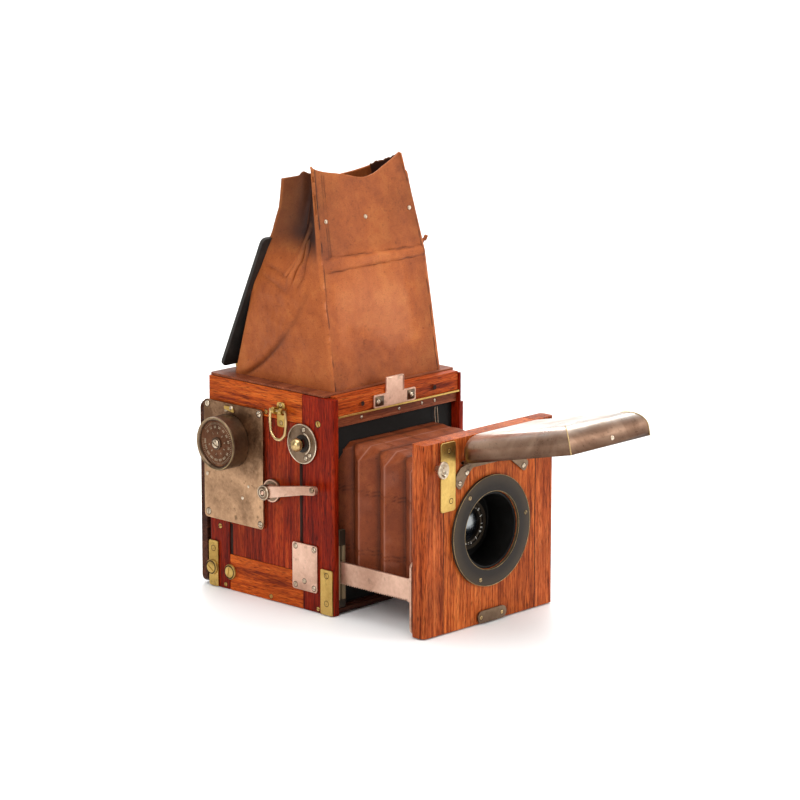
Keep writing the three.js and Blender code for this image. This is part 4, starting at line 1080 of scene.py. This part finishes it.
screws("lower_catch_screws", "y", -1, [(-10.6, 5.2, CATCH_LOW_Y, 1.6, 40), (12, 5.1, CATCH_LOW_Y, 1.6, 100)],
       BRASS_BRIGHT, BOARD, 0.4, "nickel")

# oval turn knob on its stem
knob = lathe("oval_knob", "y", (0, FRONT - 8.3, 0),
             [(0, 0.6), (1.3, 0.7), (1.9, 1.7), (2.8, 2.0), (3.8, 1.5), (4.6, 0.3), (5.6, 0.0), (6.4, 0.5), (6.7, 1.5),
              (6.3, 2.8), (4.4, 3.9), (2.6, 4.5), (2.6, 8.0), (0, 8.0)], NICKEL, node="turn_knob")
for v in knob.data.vertices:
    v.co.x = -0.0575 + v.co.x * 0.8
    v.co.z = 0.1255 + v.co.z

# racks: a toothed blade that widens into the foot screwed to the back of the board
BLADE_LOW, BLADE_HIGH, FLARE, FLARE_RISE = 24.0, 41.0, 7.5, 10.5
PITCH, TOOTH = 2.356, 1.3
quarter = [math.pi / 2 * k / 10 for k in range(11)]
for side, tag in ((-1, "left"), (1, "right")):
    x0, x1, y0, y1, z0, z1 = span(f"rack_{tag}")
    foot = y0 + 2.0
    edge = [(y1, BLADE_LOW), (y1, BLADE_HIGH)]
    edge += [(foot + FLARE * (1 - math.sin(t)), BLADE_HIGH + FLARE_RISE * (1 - math.cos(t))) for t in quarter]
    edge += [(foot, BLADE_LOW - FLARE_RISE)]
    edge += [(foot + FLARE * (1 - math.cos(t)), BLADE_LOW - FLARE_RISE * (1 - math.sin(t))) for t in quarter[1:]]
    y = foot + 8.0
    while y < y1 - 2.4:
        edge += [(y, BLADE_LOW + TOOTH), (y + 0.55, BLADE_LOW + TOOTH), (y + 1.05, BLADE_LOW), (y + 1.55, BLADE_LOW)]
        y += PITCH
    x = side * RACK_X
    slab(f"rack_blade_{tag}", "x", [Vector(p) for p in edge], x - 1, x + 1, COPPERY, 0.12, 2, node=f"rack_{tag}")
    x = side * (RACK_X + 0.5)
    slab(f"rack_foot_{tag}", "y", rect(x - 6, x + 6, 1, 56, 5), y0, y0 + 1.9, COPPERY, 0.25, body=BOARD)

# lens cover: a tray with coved sides and mitred corners, shown hanging open on its hinge
TILT = math.radians(-12.7)
HALF, FAR, NEAR, COVE, STRAIGHT = 43.0, -115.0, -5.0, 13.0, 7.3  # plan, radius of the cove, height below it
COVE_STEPS = 12


def cover_point(x, y, z):
    """A point given along the open cover: y runs back to its hinge and z up from its rim."""
    return P(x, HINGE[0] + y * math.cos(TILT) - z * math.sin(TILT), HINGE[1] + y * math.sin(TILT) + z * math.cos(TILT))


def cover_ring(inset, height, rear):
    """Rounded-end outline of the cover at one height, rear being how far its hinge end is drawn in."""
    x, far, near, r = HALF - inset, FAR + inset, NEAR - rear, max(0.5, 14.0 - inset)
    outline = rounded([(-x, near, r), (-x, far, 0), (x, far, 0), (x, near, r)], 10)
    return [cover_point(*p, height) for p in outline]


cover_rings = [cover_ring(0, z, 0) for z in (0.6, 4, STRAIGHT)]
for t in [math.pi / 2 * k / COVE_STEPS for k in range(1, COVE_STEPS + 1)]:
    inset = 1 - math.cos(t)
    cover_rings.append(cover_ring(COVE * inset, STRAIGHT + COVE * math.sin(t), 15 * inset))
cover_rings += [cover_ring(22, 20.5, 24), cover_ring(36, 20.6, 40)]
tray = grid("cover_tray", cover_rings, BRONZE, closed=True, node="lens_flap")
n_ring = len(cover_rings[0])
bm = bmesh.new()
bm.from_mesh(tray.data)
bm.verts.ensure_lookup_table()
bm.faces.new(bm.verts[-n_ring:]).smooth = True
bmesh.ops.recalc_face_normals(bm, faces=bm.faces)
bm.to_mesh(tray.data)
bm.free()
tray.data.set_sharp_from_angle(angle=math.radians(32))
# shades per row: painted shade on the lower sides, a painted highlight band at row 10 in the cove, and pale nickel on
# the flat top, partly painted reflection
shaded(tray, [lerp(-0.75, 0.0, smooth(0, 4, k)) + 0.8 * crease(k - 10, 2.2) + 0.7 * smooth(11.0, 14.5, k)
              for k in range(len(cover_rings)) for _ in range(n_ring)])
walled(tray, 1.2)
for side, tag in ((-1, "left"), (1, "right")):
    x, y = HALF + 0.05, FAR - 0.05
    seam = [cover_point(side * x, y, 0.7), cover_point(side * x, y, STRAIGHT)]
    for t in quarter[1:]:
        inset = COVE * (1 - math.cos(t))
        seam.append(cover_point(side * (x - inset), y + inset, STRAIGHT + 13.05 * math.sin(t)))
    wire(f"cover_seam_{tag}", seam, 0.42, BRASS_BRIGHT, body=COVER, slot="patina")
    slab(f"cover_arm_{tag}", "x", rounded([(-99.5, 126.2, 1), (-92.6, 124.7, 1), (-92.6, 127.3, 1), (-99.0, 128.6, 1)]),
         side * 29.8 - 3.2, side * 29.8 + 3.2, PATINA, body=COVER)
    wire(f"cover_knuckle_{tag}", [P(side * 26.8, *HINGE), P(side * 33, *HINGE)], 1.5, PATINA, body=COVER)
rivet = cover_point(2.5, FAR, 5.5) * 1000
lathe("cover_rivet", "y", (rivet.x, rivet.y - FRONT_Y * 1000, rivet.z),
      [(0, -1.1), (1.0, -0.95), (1.7, -0.4), (1.8, 0.5), (0, 0.5)], NICKEL, 32, body=COVER, slot="patina")

# ---------------------------------------------------------------- floor, light and camera
floor_mat = Shader("floor_paper")
FLOOR = floor_mat.done(Base_Color=floor_mat.mix(floor_mat.noise(30, 3), (0.93, 0.93, 0.925), (0.95, 0.95, 0.945)),
                       Roughness=0.42)
bm = bmesh.new()
bmesh.ops.create_grid(bm, x_segments=8, y_segments=8, size=4.0)
floor_mesh = bpy.data.meshes.new("studio_floor")
bm.to_mesh(floor_mesh)
bm.free()
floor = bpy.data.objects.new("studio_floor", floor_mesh)
floor.location = (0, 0, cad_lo.z - 0.0004)
floor_mesh.materials.append(FLOOR)
bpy.context.collection.objects.link(floor)

world = bpy.data.worlds.new("studio")
world.use_nodes = True
sky = world.node_tree
background = sky.nodes["Background"]
direction = sky.nodes.new("ShaderNodeTexCoord")
turn = sky.nodes.new("ShaderNodeVectorMath")
turn.operation = "DOT_PRODUCT"
turn.inputs[1].default_value = (0.725, 0.689, 0.0)
sky.links.new(direction.outputs["Generated"], turn.inputs[0])
cove = sky.nodes.new("ShaderNodeMapRange")
for socket, value in (("From Min", -0.25), ("From Max", 0.45), ("To Min", 0.34), ("To Max", 1.06)):
    cove.inputs[socket].default_value = value
sky.links.new(turn.outputs["Value"], cove.inputs["Value"])
sky.links.new(cove.outputs[0], background.inputs["Strength"])
background.inputs["Color"].default_value = (1.0, 0.995, 0.98, 1)
bpy.context.scene.world = world


def softbox(name, centre, target, size, power, colour=(1, 1, 1)):
    """A large soft panel of light, aimed at a point."""
    light = bpy.data.lights.new(name, "AREA")
    light.shape, light.size, light.size_y, light.energy, light.color = "RECTANGLE", size[0], size[1], power, colour
    o = bpy.data.objects.new(name, light)
    o.location = centre
    o.rotation_euler = (Vector(target) - Vector(centre)).to_track_quat("-Z", "Y").to_euler()
    bpy.context.collection.objects.link(o)


softbox("overhead", (-0.2, -0.4, 1.9), (0, 0, 0.1), (1.6, 1.6), 27)
softbox("backdrop", (2.0, 1.9, 1.9), (2.0, 1.9, 0), (3.2, 3.2), 75)
softbox("left_front", (-1.9, -0.7, 1.0), (0, -0.05, 0.12), (0.8, 1.2), 20)
softbox("right_front", (1.1, -2.0, 0.9), (0, -0.1, 0.12), (0.8, 1.2), 22)

azimuth, height, distance = math.radians(-46.443), math.radians(12.457), 2654.6
aim = Vector((31.485, 30.0, 143.706))
away = Vector((math.sin(azimuth) * math.cos(height), -math.cos(azimuth) * math.cos(height), math.sin(height)))
cam_data = bpy.data.cameras.new("camera")
cam_data.lens, cam_data.sensor_width, cam_data.clip_end = 157.5, 36, 50
cam = bpy.data.objects.new("camera", cam_data)
cam.location = P(*(aim + away * distance))
cam.rotation_euler = (-away).to_track_quat("-Z", "Y").to_euler()
bpy.context.collection.objects.link(cam)
bpy.context.scene.camera = cam
bpy.context.scene.view_settings.view_transform = "Standard"
